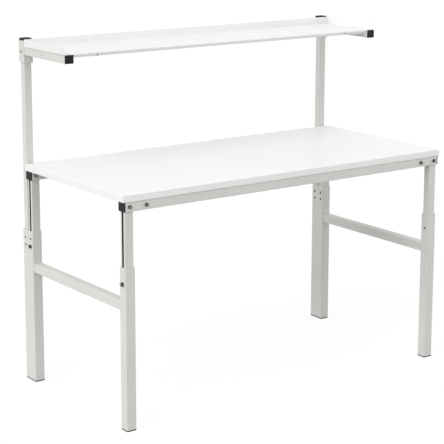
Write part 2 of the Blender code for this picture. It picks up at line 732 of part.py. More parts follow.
def make_top_frame(finishes):
    parent = add_axis("top_frame")
    for place, y in LEG_PLACES:
        beam(f"beam_{place}", finishes["frame"], parent, y)
        bolt_seat_y = y - BEAM_DEPTH / 2 - TOUCH_GAP
        shank = TOUCH_GAP + BEAM_WALL + TOUCH_GAP + HEAD_WALL + SHANK_END
        for side_name, side in SIDES:
            inner_leg(f"inner_leg_{place}_{side_name}", finishes["frame"], parent, side, y)
            beam_cap(f"beam_cap_{place}_{side_name}", finishes["black_plastic"], parent, side, y)
            for bolt_name, bolt_x in (("outer", LEG_X), ("inner", INNER_BOLT_X)):
                seat = (side * bolt_x, bolt_seat_y, BEAM_MIDDLE)
                bolt = f"beam_bolt_{place}_{side_name}_{bolt_name}"
                cap_screw(bolt, finishes["zinc"], parent, seat, (0, -1, 0), shank, BEAM_SCREW_HEAD_HEIGHT)

    low = (-WORKTOP_LENGTH / 2, WORKTOP_FRONT_Y, -WORKTOP_THICKNESS)
    high = (WORKTOP_LENGTH / 2, WORKTOP_FRONT_Y + WORKTOP_DEPTH, 0)
    board = block_shape(low, high)
    worktop = add_object("worktop", board, finishes["laminate"], parent, (0, 0, WORKTOP_HEIGHT))
    rounding = worktop.modifiers.new("Edges", "BEVEL")
    rounding.width = WORKTOP_EDGE_RADIUS
    rounding.segments = 2


# Shelf

def shelf_sleeve(name, finish, parent, side):
    """The thick collar on the upright: its lower back edge is cut off at 45 degrees."""
    outer = rounded_rectangle(SLEEVE_SIZE, SLEEVE_SIZE, SLEEVE_CORNER)
    inner_size = UPRIGHT_SIZE + 2 * SLEEVE_GAP
    inner = rounded_rectangle(inner_size, inner_size, UPRIGHT_CORNER)
    bottom = SLEEVE_TOP - SLEEVE_HEIGHT
    centre = (side * LEG_X, UPRIGHT_Y, 0)
    sleeve = add_object(name, tube_shape(outer, inner, bottom, SLEEVE_TOP), finish, parent, centre)
    rear = SLEEVE_SIZE / 2
    past = SLEEVE_SIZE
    wedge = [
        (rear - SLEEVE_CHAMFER - past, bottom - past),
        (rear + past, bottom + SLEEVE_CHAMFER + past),
        (rear + past, bottom - past),
    ]
    outer_face = (side * SLEEVE_SIZE / 2, 0, SLEEVE_TOP - SLEEVE_HEIGHT / 2)
    hole_radius = SET_SCREW_RADIUS + BOLT_CLEARANCE
    screw_hole = cylinder_shape(outer_face, "X", hole_radius, SLEEVE_SIZE - UPRIGHT_SIZE)
    cuts = [prism_shape(wedge, -SLEEVE_SIZE, SLEEVE_SIZE, "X"), screw_hole]
    combine(sleeve, joined(cuts), "DIFFERENCE")
    return sleeve


def shelf_arm(name, finish, parent, side):
    """A tube from the sleeve's front to the shelf's front edge, with a hole for the tray's screw."""
    outlines = tube_outlines(ARM_WIDTH, ARM_HEIGHT, ARM_WALL, ARM_CORNER)
    shape = tube_shape(*outlines, ARM_FRONT_Y, ARM_REAR_Y, "Y")
    arm = add_object(name, shape, finish, parent, (side * LEG_X, 0, ARM_TOP - ARM_HEIGHT / 2))
    top_wall = (0, TRAY_SCREW_Y, ARM_HEIGHT / 2)
    hole = cylinder_shape(top_wall, "Z", TRAY_SCREW_RADIUS + TRAY_SCREW_CLEARANCE, 4 * ARM_WALL)
    combine(arm, hole, "DIFFERENCE")
    return arm


def arm_cap(name, finish, parent, side):
    """The black cap on an arm's front end, with a flange all round."""
    overhang = 2 * ARM_CAP_OVERHANG
    flange = rounded_rectangle(ARM_WIDTH + overhang, ARM_HEIGHT + overhang, ARM_CORNER)
    outer, inner = plug_outlines(ARM_WIDTH, ARM_HEIGHT, ARM_WALL, ARM_CORNER)
    seat = ARM_FRONT_Y - TOUCH_GAP
    rings = [section(flange, seat - ARM_CAP_FLANGE, "Y"), section(flange, seat, "Y")]
    rings += plug_rings(outer, inner, seat, seat + ARM_CAP_PLUG, seat, "Y")
    centre = (side * LEG_X, 0, ARM_TOP - ARM_HEIGHT / 2)
    return add_object(name, skin(rings), finish, parent, centre)


def shelf_tray(finish, parent):
    """One folded sheet: a floor, a rim at the rear and both ends, and a lip between the arms.

    The lip slopes back under the floor.
    """
    lip_end = LEG_X - ARM_WIDTH / 2 - ARM_CAP_OVERHANG - TOUCH_GAP
    planes_x = (-TRAY_END_X, SHEET - TRAY_END_X, -lip_end, lip_end, TRAY_END_X - SHEET, TRAY_END_X)
    planes_y = (TRAY_FRONT_Y, TRAY_FRONT_Y + SHEET, TRAY_REAR_Y - SHEET, TRAY_REAR_Y)
    planes_z = (SHELF_TOP - TRAY_LIP, TRAY_FLOOR_BOTTOM, SHELF_TOP, SHELF_TOP + TRAY_RIM)
    columns = range(len(planes_x) - 1)
    rows = range(len(planes_y) - 1)
    floor = [(i, j, 1) for i in columns for j in rows]
    rim = [(i, j, 2) for i in columns for j in rows if i in (0, 4) or j == 2]
    lip = [(2, 0, 0)]
    points, faces = stepped_shape(floor + rim + lip, planes_x, planes_y, planes_z)
    sloped = [(x, y + TRAY_LIP_SLOPE, z) if z == planes_z[0] else (x, y, z) for x, y, z in points]
    tray = add_object("shelf_tray", (sloped, faces), finish, parent)
    cuts = []
    lip_middle = (TRAY_FLOOR_BOTTOM + SHELF_TOP - TRAY_LIP) / 2
    lip_reach = 2 * (TRAY_LIP_SLOPE + 2 * SHEET)
    for _, side in SIDES:
        lip_hole = (side * (LEG_X - ARM_WIDTH / 2 - LIP_HOLE_INSET), TRAY_FRONT_Y, lip_middle)
        cuts.append(cylinder_shape(lip_hole, "Y", LIP_HOLE_RADIUS, lip_reach))
        screw_hole = (side * LEG_X, TRAY_SCREW_Y, SHELF_TOP)
        cuts.append(cylinder_shape(screw_hole, "Z", TRAY_SCREW_RADIUS + TRAY_SCREW_CLEARANCE, 4 * SHEET))
    combine(tray, joined(cuts), "DIFFERENCE")
    return tray


def tray_screw(name, finish, parent, side):
    """A small pan-head screw down through the tray's floor into the arm."""
    length = SHEET + ARM_WALL + 2 * TOUCH_GAP + SHANK_END
    top = TRAY_SCREW_HEAD_HEIGHT
    rings = [
        section(circle(TRAY_SCREW_RADIUS), -length),
        section(circle(TRAY_SCREW_RADIUS), 0),
        section(circle(TRAY_SCREW_HEAD_RADIUS), 0),
        section(circle(TRAY_SCREW_HEAD_RADIUS * PAN_CROWN_RADIUS), top * PAN_CROWN_HEIGHT),
        section(circle(TRAY_SCREW_SOCKET_FLATS * SOCKET_RIM_RADIUS), top),
        section(hexagon(TRAY_SCREW_SOCKET_FLATS), top),
        section(hexagon(TRAY_SCREW_SOCKET_FLATS), top * PAN_SOCKET_FLOOR),
    ]
    seat = (side * LEG_X, TRAY_SCREW_Y, SHELF_TOP + TOUCH_GAP)
    return add_object(name, skin(rings), finish, parent, seat, smooth=True)


def make_shelf(finishes):
    parent = add_axis("shelf")
    steel = finishes["black_steel"]
    screw_x = LEG_X + SLEEVE_SIZE / 2 - SET_SCREW_RECESS
    screw_length = (SLEEVE_SIZE - UPRIGHT_SIZE) / 2 - SET_SCREW_RECESS - TOUCH_GAP
    for side_name, side in SIDES:
        shelf_sleeve(f"shelf_sleeve_{side_name}", finishes["frame"], parent, side)
        shelf_arm(f"shelf_arm_{side_name}", finishes["frame"], parent, side)
        arm_cap(f"arm_cap_{side_name}", finishes["black_plastic"], parent, side)
        tray_screw(f"tray_screw_{side_name}", finishes["zinc"], parent, side)
        outer_end = (side * screw_x, UPRIGHT_Y, SLEEVE_TOP - SLEEVE_HEIGHT / 2)
        set_screw(f"sleeve_screw_{side_name}", steel, parent, outer_end, (side, 0, 0), screw_length)
    shelf_tray(finishes["tray"], parent)


for old in list(bpy.data.objects):
    bpy.data.objects.remove(old, do_unlink=True)

all_finishes = make_materials()
make_lower_frame(all_finishes)
make_top_frame(all_finishes)
make_shelf(all_finishes)
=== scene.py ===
"""A height-adjustable workbench with an upper shelf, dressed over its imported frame."""
import json
from math import cos
from math import inf
from math import pi
from math import radians
from math import sin
from math import tan

import bmesh
import bpy
from mathutils import Matrix
from mathutils import Vector

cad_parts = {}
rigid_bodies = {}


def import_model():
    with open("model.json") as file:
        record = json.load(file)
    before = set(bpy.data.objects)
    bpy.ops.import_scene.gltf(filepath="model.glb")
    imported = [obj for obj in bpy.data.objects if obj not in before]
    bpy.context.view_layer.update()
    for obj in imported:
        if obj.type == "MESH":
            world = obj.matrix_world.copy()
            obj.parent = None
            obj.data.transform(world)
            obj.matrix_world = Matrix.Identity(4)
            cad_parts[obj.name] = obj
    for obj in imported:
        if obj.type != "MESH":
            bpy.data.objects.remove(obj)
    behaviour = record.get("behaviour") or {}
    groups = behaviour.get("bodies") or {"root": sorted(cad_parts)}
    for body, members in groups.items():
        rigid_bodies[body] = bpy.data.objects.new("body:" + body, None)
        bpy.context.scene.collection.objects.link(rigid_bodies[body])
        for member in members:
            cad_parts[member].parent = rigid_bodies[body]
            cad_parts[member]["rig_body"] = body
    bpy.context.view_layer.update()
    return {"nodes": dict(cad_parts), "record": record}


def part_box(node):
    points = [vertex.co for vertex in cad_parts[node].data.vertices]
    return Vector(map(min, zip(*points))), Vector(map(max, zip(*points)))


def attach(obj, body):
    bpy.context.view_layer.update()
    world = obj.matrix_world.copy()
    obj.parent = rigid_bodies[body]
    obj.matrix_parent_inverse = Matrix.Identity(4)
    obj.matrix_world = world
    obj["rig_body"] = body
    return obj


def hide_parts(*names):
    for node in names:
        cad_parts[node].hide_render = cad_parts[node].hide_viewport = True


# Camera, found from the photograph's edges
CAMERA_PLACE = (-3.5256, -4.7730, 2.0139)
CAMERA_YAW = radians(35.982)
CAMERA_PITCH = radians(11.761)
CAMERA_ROLL = radians(0.125)
CAMERA_LENS = 124.868
CAMERA_SENSOR = 36
CAMERA_END = 200
CAMERA_SHIFT = -0.10

# Light, as radiance of a white matt face that looks straight at it, with the way it comes from
SKY = 0.84
SKY_SEEN = 1.0
LAMP_ANGLE = radians(34)
LAMPS = (
    ("key", 0.30, (-0.70, -0.30, 0.65)),
    ("rear_left", 0.22, (-1.0, 0.40, 0.30)),
    ("front_right", 0.27, (0.9, -0.45, 0.15)),
)

# Floor: its glow and paint as the camera sees it, its paint to the light, and its half width
FLOOR_GLOW = 0.84
FLOOR_PAINT = 0.17
FLOOR_BOUNCE = 0.42
FLOOR_REACH = 60

# Tubes
BEAM_WALL = 0.002
BEAM_CORNER = 0.0025
LEG_WALL = 0.0015
LEG_CORNER = 0.003
RAIL_WALL = 0.0015
RAIL_CORNER = 0.0025
POST_WALL = 0.0015
POST_CORNER = 0.002
ARM_WALL = 0.002
ARM_CORNER = 0.0025
SLEEVE_WALL = 0.0046
SLEEVE_CORNER = 0.0025
SLEEVE_CHAMFER = 0.013

# Inner legs: a slotted channel, and a head in the beam on a stem
CHANNEL_WIDTH = 0.035
CHANNEL_DEPTH = 0.030
CHANNEL_WALL = 0.002
CHANNEL_CORNER = 0.0028
CHANNEL_INNER_CORNER = 0.0008
CHANNEL_STEPS = 5
# How far in from a channel's outside the painted shade on its inside begins
CHANNEL_SHADE_INSET = 0.0018
SLOT_HALF = 0.005
SLOT_EDGE = 0.0004
HEAD_WALL = 0.003
STEM_WIDTH = 0.010
STEM_DEPTH = 0.022
STEM_DROP = 0.040
STEM_CORNER = 0.0006
STEM_HOLE_CORNER = 0.0008
STEM_WELD = 0.001

# Guides in the outer legs
GUIDE_LEAD = 0.0004
POCKET_CORNER = 0.0022

# Tray: sheet, rims, and the lip that leans back from its front edge
SHEET = 0.0015
TRAY_RIM = 0.028
RIM_EDGE = 0.0004
RIM_EDGE_SHARE = 0.3
BEND = 0.0025
BEND_STEPS = 6
TRAY_CORNER = 0.0045
LIP_LEAN = radians(25.5)
LIP_STEPS = 10
LIP_HOLE_INSET = 0.108
LIP_HOLE_RADIUS = 0.0045

# Worktop: the edge band's width, its seam and the rounding of its edges
BAND = 0.002
SEAM = 0.00012
ARRIS = 0.0015

# Plastic caps: each one's flange, the rounding of its edge and the crown of its face
BEAM_CAP = {"flange": 0.0045, "rounding": 0.0014, "crown": 0.00025}
FOOT_CAP = {"flange": 0.0045, "rounding": 0.0012, "crown": 0.0002}
POST_CAP = {"flange": 0.009, "rounding": 0.002, "crown": 0.0004}
ARM_CAP = {"flange": 0.0015, "rounding": 0.0008, "crown": 0.0001}
CROWN_ROUNDINGS = 5
POST_CAP_CORNER = 0.003
ARM_CAP_OVERHANG = 0.001
PLUG_WALL = 0.0025

# Holes
LEG_HOLE_RADIUS = 0.00475
SLEEVE_HOLE_RADIUS = 0.0047
BOLT_HOLE_RADIUS = 0.0043
TRAY_HOLE_RADIUS = 0.00195

# Cap screws: the heights are from the seat, and each face is zinc out to a radius as a painted highlight,
# with painted shade past it
SHANK_RADIUS = 0.0040
SHANK_TIP_RADIUS = 0.0031
SHANK_TIP_LENGTH = 0.0009
SCREW_HEAD_RADIUS = 0.0065
BEAM_SCREW_HEIGHT = 0.0055
BEAM_SCREW_HIGHLIGHT = 0.0043
LOCK_SCREW_HEIGHT = 0.0096
LOCK_SCREW_HIGHLIGHT = 0.0054
WASHER_RADIUS = 0.0080
WASHER_THICKNESS = 0.0016

# The rounding of a cap screw's head, as set in and depth. Its socket, as flats and depth, and the
# depth and radius that the painted shade on its wall reaches to
HEAD_ROUNDING = ((0, 0.0007), (0.0002, 0.0003), (0.0006, 0))
SOCKET_RIM_RADIUS = 0.0036
SOCKET = ((0.0062, 0.0002), (0.0060, 0.0004), (0.0060, 0.0030), (0.0028, 0.0036))
SOCKET_SHADE_DEPTH = 0.0031
SOCKET_SHADE_REACH = 0.0037

# Set screws: the free end as radius and height, and its socket as flats and height
SET_RADIUS = 0.0044
SET_TIP_RADIUS = 0.0030
SET_TIP_LENGTH = 0.0012
SET_END = ((SET_RADIUS, -0.0004), (0.0041, 0), (0.0026, 0))
SET_SOCKET = ((0.0042, -0.0003), (0.0042, -0.0017), (0.002, -0.0020))

# Small screws: the head as radius and height, its socket as flats and height, and the radius and
# floor of the painted shade in that socket
PAN_HEIGHT = 0.0022
PAN_SHANK_RADIUS = 0.00175
PAN_TIP_RADIUS = 0.0011
PAN_TIP_LENGTH = 0.0007
PAN_HEAD = (
    (0.0033, 0), (0.0034, 0.0002), (0.0034, 0.0008), (0.0032, 0.0013),
    (0.0028, 0.0018), (0.0021, 0.0021), (0.0016, PAN_HEIGHT),
)
PAN_SOCKET = ((0.0025, 0.0020), (0.0025, 0.0009), (0.0012, 0.0006))
PAN_SHADE = (0.0015, 0.0005)
SIDE_SCREW_Y = 0.19
SIDE_HEAD = (
    (0.0042, 0), (0.0043, 0.0003), (0.0043, 0.0010),
    (0.0040, 0.0015), (0.0033, 0.0020), (0.0022, 0.0023),
)
SIDE_SOCKET = ((0.0031, 0.0022), (0.0030, 0.0009), (0.0014, 0.0006))
SIDE_SHADE = (0.0017, 0.0005)
LIP_SCREW = (
    (0.0030, -0.0040), (0.0042, -0.0030), (0.0043, 0), (0.0049, 0),
    (0.0050, 0.0003), (0.0047, 0.0009), (0.0038, 0.0015),
)
LIP_SOCKET = ((0.0050, 0.0017), (0.0050, 0.0004), (0.0020, 0.0001))
LIP_SHADE = (0.0030, 0)
LIP_SCREW_LIFT = 0.00005

# Black plugs in the holes of the legs' inner sides, a painted shade for the dark of those holes, as radius
# and height
HOLE_SHADE_PLUG = ((0.0043, -0.0014), (0.0046, -0.0011), (0.0046, -0.0006), (0.0043, -0.0003), (0.0020, -0.00025))

# Weld beads: the ripples are shares of the bead's size, each with its rate and its phase
WELD_SIZE = 0.0021
WELD_PITCH = 0.0021
WELD_SPACING = 0.0006
WELD_STEPS = 5
WELD_RIPPLES = ((0.07, 2 * pi, pi / 2), (0.05, 1.7, 0), (0.04, 0.61, 1))

# Gaps, and steps on the round forms
EDGE_BREAK = 0.0003
TOUCH_GAP = 0.0003
SLIDE_GAP = 0.00015
SMALL_CORNER = 0.0003
CUT_PAST = 0.002
CORNER_STEPS = 8
ROUND_STEPS = 48
SHARP_ANGLE = radians(32)

# Colours
LAMINATE = (0.86, 0.86, 0.85)
EDGE_BAND_SHADE = 0.985
COAT = (0.66, 0.66, 0.63)
TRAY_COAT = (0.815, 0.815, 0.805)
GUIDE = (0.60, 0.60, 0.57)
ZINC = (0.56, 0.56, 0.55)
BLACK = (0.010, 0.010, 0.010)
BLACKENED = (0.008, 0.008, 0.008)
# Near black, for bare steel and for painted shade
BARE_AND_SHADE_BLACK = (0.006, 0.006, 0.006)
# Black oxide, which also stands as painted shade on the lock screws' rims
OXIDE_AND_SHADE = (0.045, 0.045, 0.045)

# Patterns: the spans of the noise that carry a change, and the swell's waves in widths of a grain
TINT_SPAN = (0.35, 0.65)
FLECK_SPAN = (0.30, 0.55)
NOISE_SPAN = (0.3, 0.7)
ROUGHNESS_CHANGE = 0.12
SWELL_WIDTH = 6

AXES = {"X": (0, 1, 2), "Y": (1, 0, 2), "Z": (2, 0, 1)}
SIDES = (("left", -1), ("right", 1))
PLACES = ("front", "rear")

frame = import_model()
nodes = frame["nodes"]
slots = {part["node"]: part["material_slot"] for part in frame["record"]["subparts"]}


# Finishes

def new_material(name, color, roughness, metallic=0.0):
    made = bpy.data.materials.new(name)
    made.use_nodes = True
    shader = made.node_tree.nodes["Principled BSDF"]
    shader.inputs["Base Color"].default_value = (*color, 1)
    shader.inputs["Roughness"].default_value = roughness
    shader.inputs["Metallic"].default_value = metallic
    made.diffuse_color = (*color, 1)
    return made


def noise(made, scale, detail):
    """A noise pattern fixed to the piece, with so many waves a metre."""
    tree = made.node_tree
    place = tree.nodes.new("ShaderNodeTexCoord")
    pattern = tree.nodes.new("ShaderNodeTexNoise")
    pattern.inputs["Scale"].default_value = scale
    pattern.inputs["Detail"].default_value = detail
    tree.links.new(place.outputs["Object"], pattern.inputs["Vector"])
    return pattern.outputs["Fac"]


def ramp(made, factor, low, high, span):
    """Colours between low and high as the factor goes through a span."""
    tree = made.node_tree
    band = tree.nodes.new("ShaderNodeValToRGB")
    for element, position, color in zip(band.color_ramp.elements, span, (low, high)):
        element.position = position
        element.color = (*color, 1)
    tree.links.new(factor, band.inputs["Fac"])
    return band.outputs["Color"]


def spread(made, factor, low, high):
    """A number between low and high that follows the factor."""
    tree = made.node_tree
    node = tree.nodes.new("ShaderNodeMapRange")
    for socket, value in zip(("From Min", "From Max", "To Min", "To Max"), (*NOISE_SPAN, low, high)):
        node.inputs[socket].default_value = value
    tree.links.new(factor, node.inputs["Value"])
    return node.outputs["Result"]


def times(made, first, second):
    """Two colours multiplied."""
    tree = made.node_tree
    node = tree.nodes.new("ShaderNodeMix")
    node.data_type = "RGBA"
    node.blend_type = "MULTIPLY"
    node.inputs["Factor"].default_value = 1
    tree.links.new(first, node.inputs["A"])
    tree.links.new(second, node.inputs["B"])
    return node.outputs["Result"]


def bump(made, height, strength, distance, under=None):
    tree = made.node_tree
    node = tree.nodes.new("ShaderNodeBump")
    node.inputs["Strength"].default_value = strength
    node.inputs["Distance"].default_value = distance
    tree.links.new(height, node.inputs["Height"])
    if under:
        tree.links.new(under, node.inputs["Normal"])
    return node.outputs["Normal"]


def feed(made, socket, value):
    made.node_tree.links.new(value, made.node_tree.nodes["Principled BSDF"].inputs[socket])


def shade(color, factor):
    return tuple(min(part * factor, 1) for part in color)


def surface(name, color, roughness, metallic=0.0, grain=900, relief=0.15, depth=0.0001,
            patch=6, change=0.02, fleck=0.015, gloss=0.5):
    """A finish with a broad, faint change of colour, fine flecks, and relief at two scales."""
    made = new_material(name, color, roughness, metallic)
    made.node_tree.nodes["Principled BSDF"].inputs["Specular IOR Level"].default_value = gloss
    broad = noise(made, patch, detail=3)
    fine = noise(made, grain, detail=2)
    tint = ramp(made, broad, shade(color, 1 - change), shade(color, 1 + change), TINT_SPAN)
    flecks = ramp(made, fine, (1 - fleck,) * 3, (1, 1, 1), FLECK_SPAN)
    feed(made, "Base Color", times(made, tint, flecks))
    wear = roughness * ROUGHNESS_CHANGE
    feed(made, "Roughness", spread(made, broad, roughness - wear, roughness + wear))
    swell = bump(made, noise(made, grain / SWELL_WIDTH, detail=1), relief / 2, depth * 2)
    feed(made, "Normal", bump(made, fine, relief, depth, swell))
    return made


finishes = {
    "laminate": surface("laminate", LAMINATE, 0.42, grain=1400, relief=0.12, patch=2.5, change=0.007),
    "frame": surface("frame_coat", COAT, 0.45, grain=800, relief=0.25),
    "tray": surface("tray_coat", TRAY_COAT, 0.45, grain=800, relief=0.25, patch=4, change=0.01),
    "black_plastic": surface("black_plastic", BLACK, 0.5, grain=2200, relief=0.35, fleck=0.2, gloss=0.2),
    "guide_plastic": surface("guide_plastic", GUIDE, 0.50, grain=2200, relief=0.2),
    "zinc": surface("zinc", ZINC, 0.28, metallic=1.0, grain=3000, relief=0.1, patch=90, change=0.08),
    "black_steel": surface("black_steel", BLACKENED, 0.6, grain=3000, relief=0.2, fleck=0.2, gloss=0.12),
}
EDGE_BAND = shade(LAMINATE, EDGE_BAND_SHADE)
edge_band_finish = surface("edge_band", EDGE_BAND, 0.45, grain=2200, relief=0.15, patch=3)
# Near-black steel for the bare heads and stems of the inner legs, and painted shade: the channels' insides
# and slot edges, the beam screws' rims and the screws' sockets
bare_steel_and_shade = surface("bare_steel_and_shade", BARE_AND_SHADE_BLACK, 0.8, grain=600, relief=0.3, change=0.3, fleck=0.2, gloss=0.05)
# The lock screws' rims and sides: black oxide, darkened as painted shade
oxide_and_shade_steel = surface("oxide_and_shade_steel", OXIDE_AND_SHADE, 0.35, grain=3000, relief=0.1, change=0.1)

for part_node, part_slot in slots.items():
    part_mesh = nodes[part_node].data
    part_mesh.materials.clear()
    part_mesh.materials.append(finishes[part_slot])


# Outlines and shapes

def rounded_rectangle(width, depth, radius, steps=CORNER_STEPS):
    """Points of a rectangle with round corners, anticlockwise."""
    points = []
    centres = (
        (width / 2 - radius, depth / 2 - radius),
        (radius - width / 2, depth / 2 - radius),
        (radius - width / 2, radius - depth / 2),
        (width / 2 - radius, radius - depth / 2),
    )
    for corner, (across, up) in enumerate(centres):
        for step in range(steps + 1):
            angle = pi / 2 * (corner + step / steps)
            points.append((across + radius * cos(angle), up + radius * sin(angle)))
    return points


def circle(radius, steps=ROUND_STEPS):
    return [(radius * cos(2 * pi * k / steps), radius * sin(2 * pi * k / steps)) for k in range(steps)]


def hexagon(across_flats, steps=ROUND_STEPS):
    """Points round a hexagon, as many as round a circle."""
    points = []
    for k in range(steps):
        angle = 2 * pi * k / steps
        radius = across_flats / 2 / cos(angle % (pi / 3) - pi / 6)
        points.append((radius * cos(angle), radius * sin(angle)))
    return points


def filleted(corners, steps=CORNER_STEPS):
    """An outline from corners, each with its place and its radius."""
    points = []
    count = len(corners)
    for k, (place, radius) in enumerate(corners):
        here = Vector(place)
        back = (Vector(corners[k - 1][0]) - here).normalized()
        ahead = (Vector(corners[(k + 1) % count][0]) - here).normalized()
        half = back.angle(ahead) / 2
        centre = here + (back + ahead).normalized() * (radius / sin(half))
        first = here + back * (radius / tan(half)) - centre
        last = here + ahead * (radius / tan(half)) - centre
        sweep = pi - 2 * half
        for step in range(steps + 1):
            share = step / steps
            spoke = (first * sin((1 - share) * sweep) + last * sin(share * sweep)) / sin(sweep)
            points.append(tuple(centre + spoke))
    return points


def ring(outline, level, axis, centre):
    """An outline set at a level along an axis, round a centre."""
    along, across, up = AXES[axis]
    points = []
    for u, v in outline:
        point = [0.0, 0.0, 0.0]
        point[along] = level
        point[across] = centre[across] + u
        point[up] = centre[up] + v
        points.append(tuple(point))
    return points


def skin(rings, closed=False):
    """Vertices and faces of a solid through rings of as many points each."""
    count = len(rings[0])
    vertices = [point for one in rings for point in one]
    faces = []
    bands = len(rings) if closed else len(rings) - 1
    for band in range(bands):
        low = band * count
        high = (band + 1) % len(rings) * count
        for k in range(count):
            after = (k + 1) % count
            faces.append((low + k, low + after, high + after, high + k))
    if not closed:
        faces.append(tuple(range(count)))
        faces.append(tuple(len(vertices) - 1 - k for k in range(count)))
    return vertices, faces


def boxed(width, depth, corner):
    """Outlines of a rounded rectangle by how far they are set in."""

    def outline(inset):
        return rounded_rectangle(width - 2 * inset, depth - 2 * inset, max(corner - inset, SMALL_CORNER))

    return outline


def stacked(profile, outline_at, axis, centre, closed=False):
    """A shape through outlines that a profile sets in and places along an axis."""
    return skin([ring(outline_at(inset), level, axis, centre) for inset, level in profile], closed)


def quarter(radius, steps=5):
    """Set in and depth of the points of a rounded edge, from the face to the side."""
    angles = [pi / 2 * k / steps for k in range(steps + 1)]
    return [(radius * (1 - sin(angle)), radius * (1 - cos(angle))) for angle in angles]


def turned(outlines, seat, direction):
    """A shape through outlines, each with its height, that stands on a seat and points one way."""
    turn = Vector((0, 0, 1)).rotation_difference(Vector(direction)).to_matrix()
    seat = Vector(seat)
    rings = []
    for outline, height in outlines:
        rings.append([tuple(seat + turn @ Vector((u, v, height))) for u, v in outline])
    return skin(rings)


def screw_shape(profile, socket, seat, direction):
    """A turned shape from radii and heights, with a hexagon socket from flats and heights."""
    outlines = [(circle(radius), height) for radius, height in profile]
    outlines += [(hexagon(flats), height) for flats, height in socket]
    return turned(outlines, seat, direction)


def joined(*shapes):
    """Shapes as the shells of one piece."""
    vertices = []
    faces = []
    for shape_vertices, shape_faces in shapes:
        start = len(vertices)
        vertices += shape_vertices
        faces += [tuple(start + k for k in face) for face in shape_faces]
    return vertices, faces


# Pieces

def add_mesh(name, shape):
    """A new piece with a shape, its faces turned outwards."""
    mesh = bpy.data.meshes.new(name)
    vertices, faces = shape
    mesh.from_pydata(vertices, [], faces)
    work = bmesh.new()
    work.from_mesh(mesh)
    bmesh.ops.recalc_face_normals(work, faces=work.faces)
    work.to_mesh(mesh)
    work.free()
    made = bpy.data.objects.new(name, mesh)
    bpy.context.scene.collection.objects.link(made)
    return made


def cut(made, *shapes):
    """Takes shapes out of a piece for good."""
    tools = []
    for k, shape in enumerate(shapes):
        tool = add_mesh(f"{made.name}_tool_{k}", shape)
        step = made.modifiers.new("cut", "BOOLEAN")
        step.solver = "EXACT"
        step.operation = "DIFFERENCE"
        step.object = tool
        tools.append(tool)
    bpy.context.view_layer.update()
    result = bpy.data.meshes.new_from_object(made.evaluated_get(bpy.context.evaluated_depsgraph_get()))
    made.modifiers.clear()
    made.data = result
    for tool in tools:
        bpy.data.objects.remove(tool, do_unlink=True)


def finish_piece(made, slot, body, finish=None, dark=None, dark_finish=None):
    """Gives a piece its finish, its shading and its body; dark says which faces are dark."""
    mesh = made.data
    mesh.materials.clear()
    mesh.materials.append(finish or finishes[slot])
    if dark:
        mesh.materials.append(dark_finish or bare_steel_and_shade)
        for face in mesh.polygons:
            face.material_index = int(dark(face.center))
    mesh.shade_smooth()
    mesh.set_sharp_from_angle(angle=SHARP_ANGLE)
    shading = made.modifiers.new("normals", "WEIGHTED_NORMAL")
    shading.keep_sharp = True
    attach(made, body)


def dress(name, shape, node, cuts=(), finish=None, dark=None, dark_finish=None):
    """A detailed piece that stands for a node."""
    made = add_mesh(name, shape)
    if cuts:
        cut(made, *cuts)
    finish_piece(made, slots[node], nodes[node]["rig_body"], finish, dark, dark_finish)
    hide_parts(node)


def middle(node):
    """The middle of a node's box."""
    low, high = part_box(node)
    return (low + high) / 2


# Tubes, holes, welds and caps

def tube(node, axis, wall, corner):
    """A tube in a node's box, with its end edges broken."""
    low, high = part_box(node)
    along, across, up = AXES[axis]
    size = high - low
    first, last = low[along], high[along]
    inner = wall - EDGE_BREAK
    profile = [
        (EDGE_BREAK, first), (0, first + EDGE_BREAK), (0, last - EDGE_BREAK), (EDGE_BREAK, last),
        (inner, last), (wall, last - EDGE_BREAK), (wall, first + EDGE_BREAK), (inner, first),
    ]
    return stacked(profile, boxed(size[across], size[up], corner), axis, (low + high) / 2, closed=True)


def drill(centre, axis, radius, half_length):
    """A cutter for a hole from face to face, with both rims broken."""
    wide = radius + EDGE_BREAK
    outlines = [
        (wide, -half_length - CUT_PAST), (wide, -half_length), (radius, EDGE_BREAK - half_length),
        (radius, half_length - EDGE_BREAK), (wide, half_length), (wide, half_length + CUT_PAST),
    ]
    direction = [0, 0, 0]
    direction[AXES[axis][0]] = 1
    return turned([(circle(size), height) for size, height in outlines], centre, direction)


def weld_stations(width, height, corner):
    """Points round a tube's outline, each with the way out of it."""
    stations = []
    straight_x = width / 2 - corner
    straight_z = height / 2 - corner
    sides = (
        (1, 0, straight_x + corner, straight_z),
        (0, 1, straight_z + corner, straight_x),
        (-1, 0, straight_x + corner, straight_z),
        (0, -1, straight_z + corner, straight_x),
    )
    for turn, (nx, nz, reach, half) in enumerate(sides):
        count = int(2 * half / WELD_SPACING)
        for k in range(count + 1):
            shift = half * (2 * k / count - 1)
            stations.append(((nx * reach - nz * shift, nz * reach + nx * shift), (nx, nz)))
        for k in range(1, WELD_STEPS):
            angle = pi / 2 * (turn + k / WELD_STEPS)
            spoke = (cos(angle), sin(angle))
            bend_x = straight_x * (nx - nz)
            bend_z = straight_z * (nx + nz)
            stations.append(((bend_x + corner * spoke[0], bend_z + corner * spoke[1]), spoke))
    return stations


def weld_bead(name, body, tube_size, corner, level, sign, centre):
    """A rippled bead round a tube's end, where it meets a flat face at a level along Y."""
    stations = weld_stations(tube_size.x, tube_size.z, corner)
    rings = []
    travelled = 0
    before = stations[-1][0]
    for place, normal in stations:
        travelled += (Vector(place) - Vector(before)).length
        before = place
        wave = travelled / WELD_PITCH
        size = WELD_SIZE * (1 + sum(share * sin(rate * wave + phase) for share, rate, phase in WELD_RIPPLES))
        section = [(-EDGE_BREAK, -EDGE_BREAK), (size, -EDGE_BREAK)]
        for k in range(WELD_STEPS + 1):
            angle = pi / 2 * k / WELD_STEPS
            section.append((size * cos(angle), size * sin(angle)))
        section.append((-EDGE_BREAK, size))
        loop = []
        for out, away in section:
            x = centre[0] + place[0] + normal[0] * out
            z = centre[2] + place[1] + normal[1] * out
            loop.append((x, level + sign * away, z))
        rings.append(loop)
    finish_piece(add_mesh(name, skin(rings, closed=True)), "frame", body)


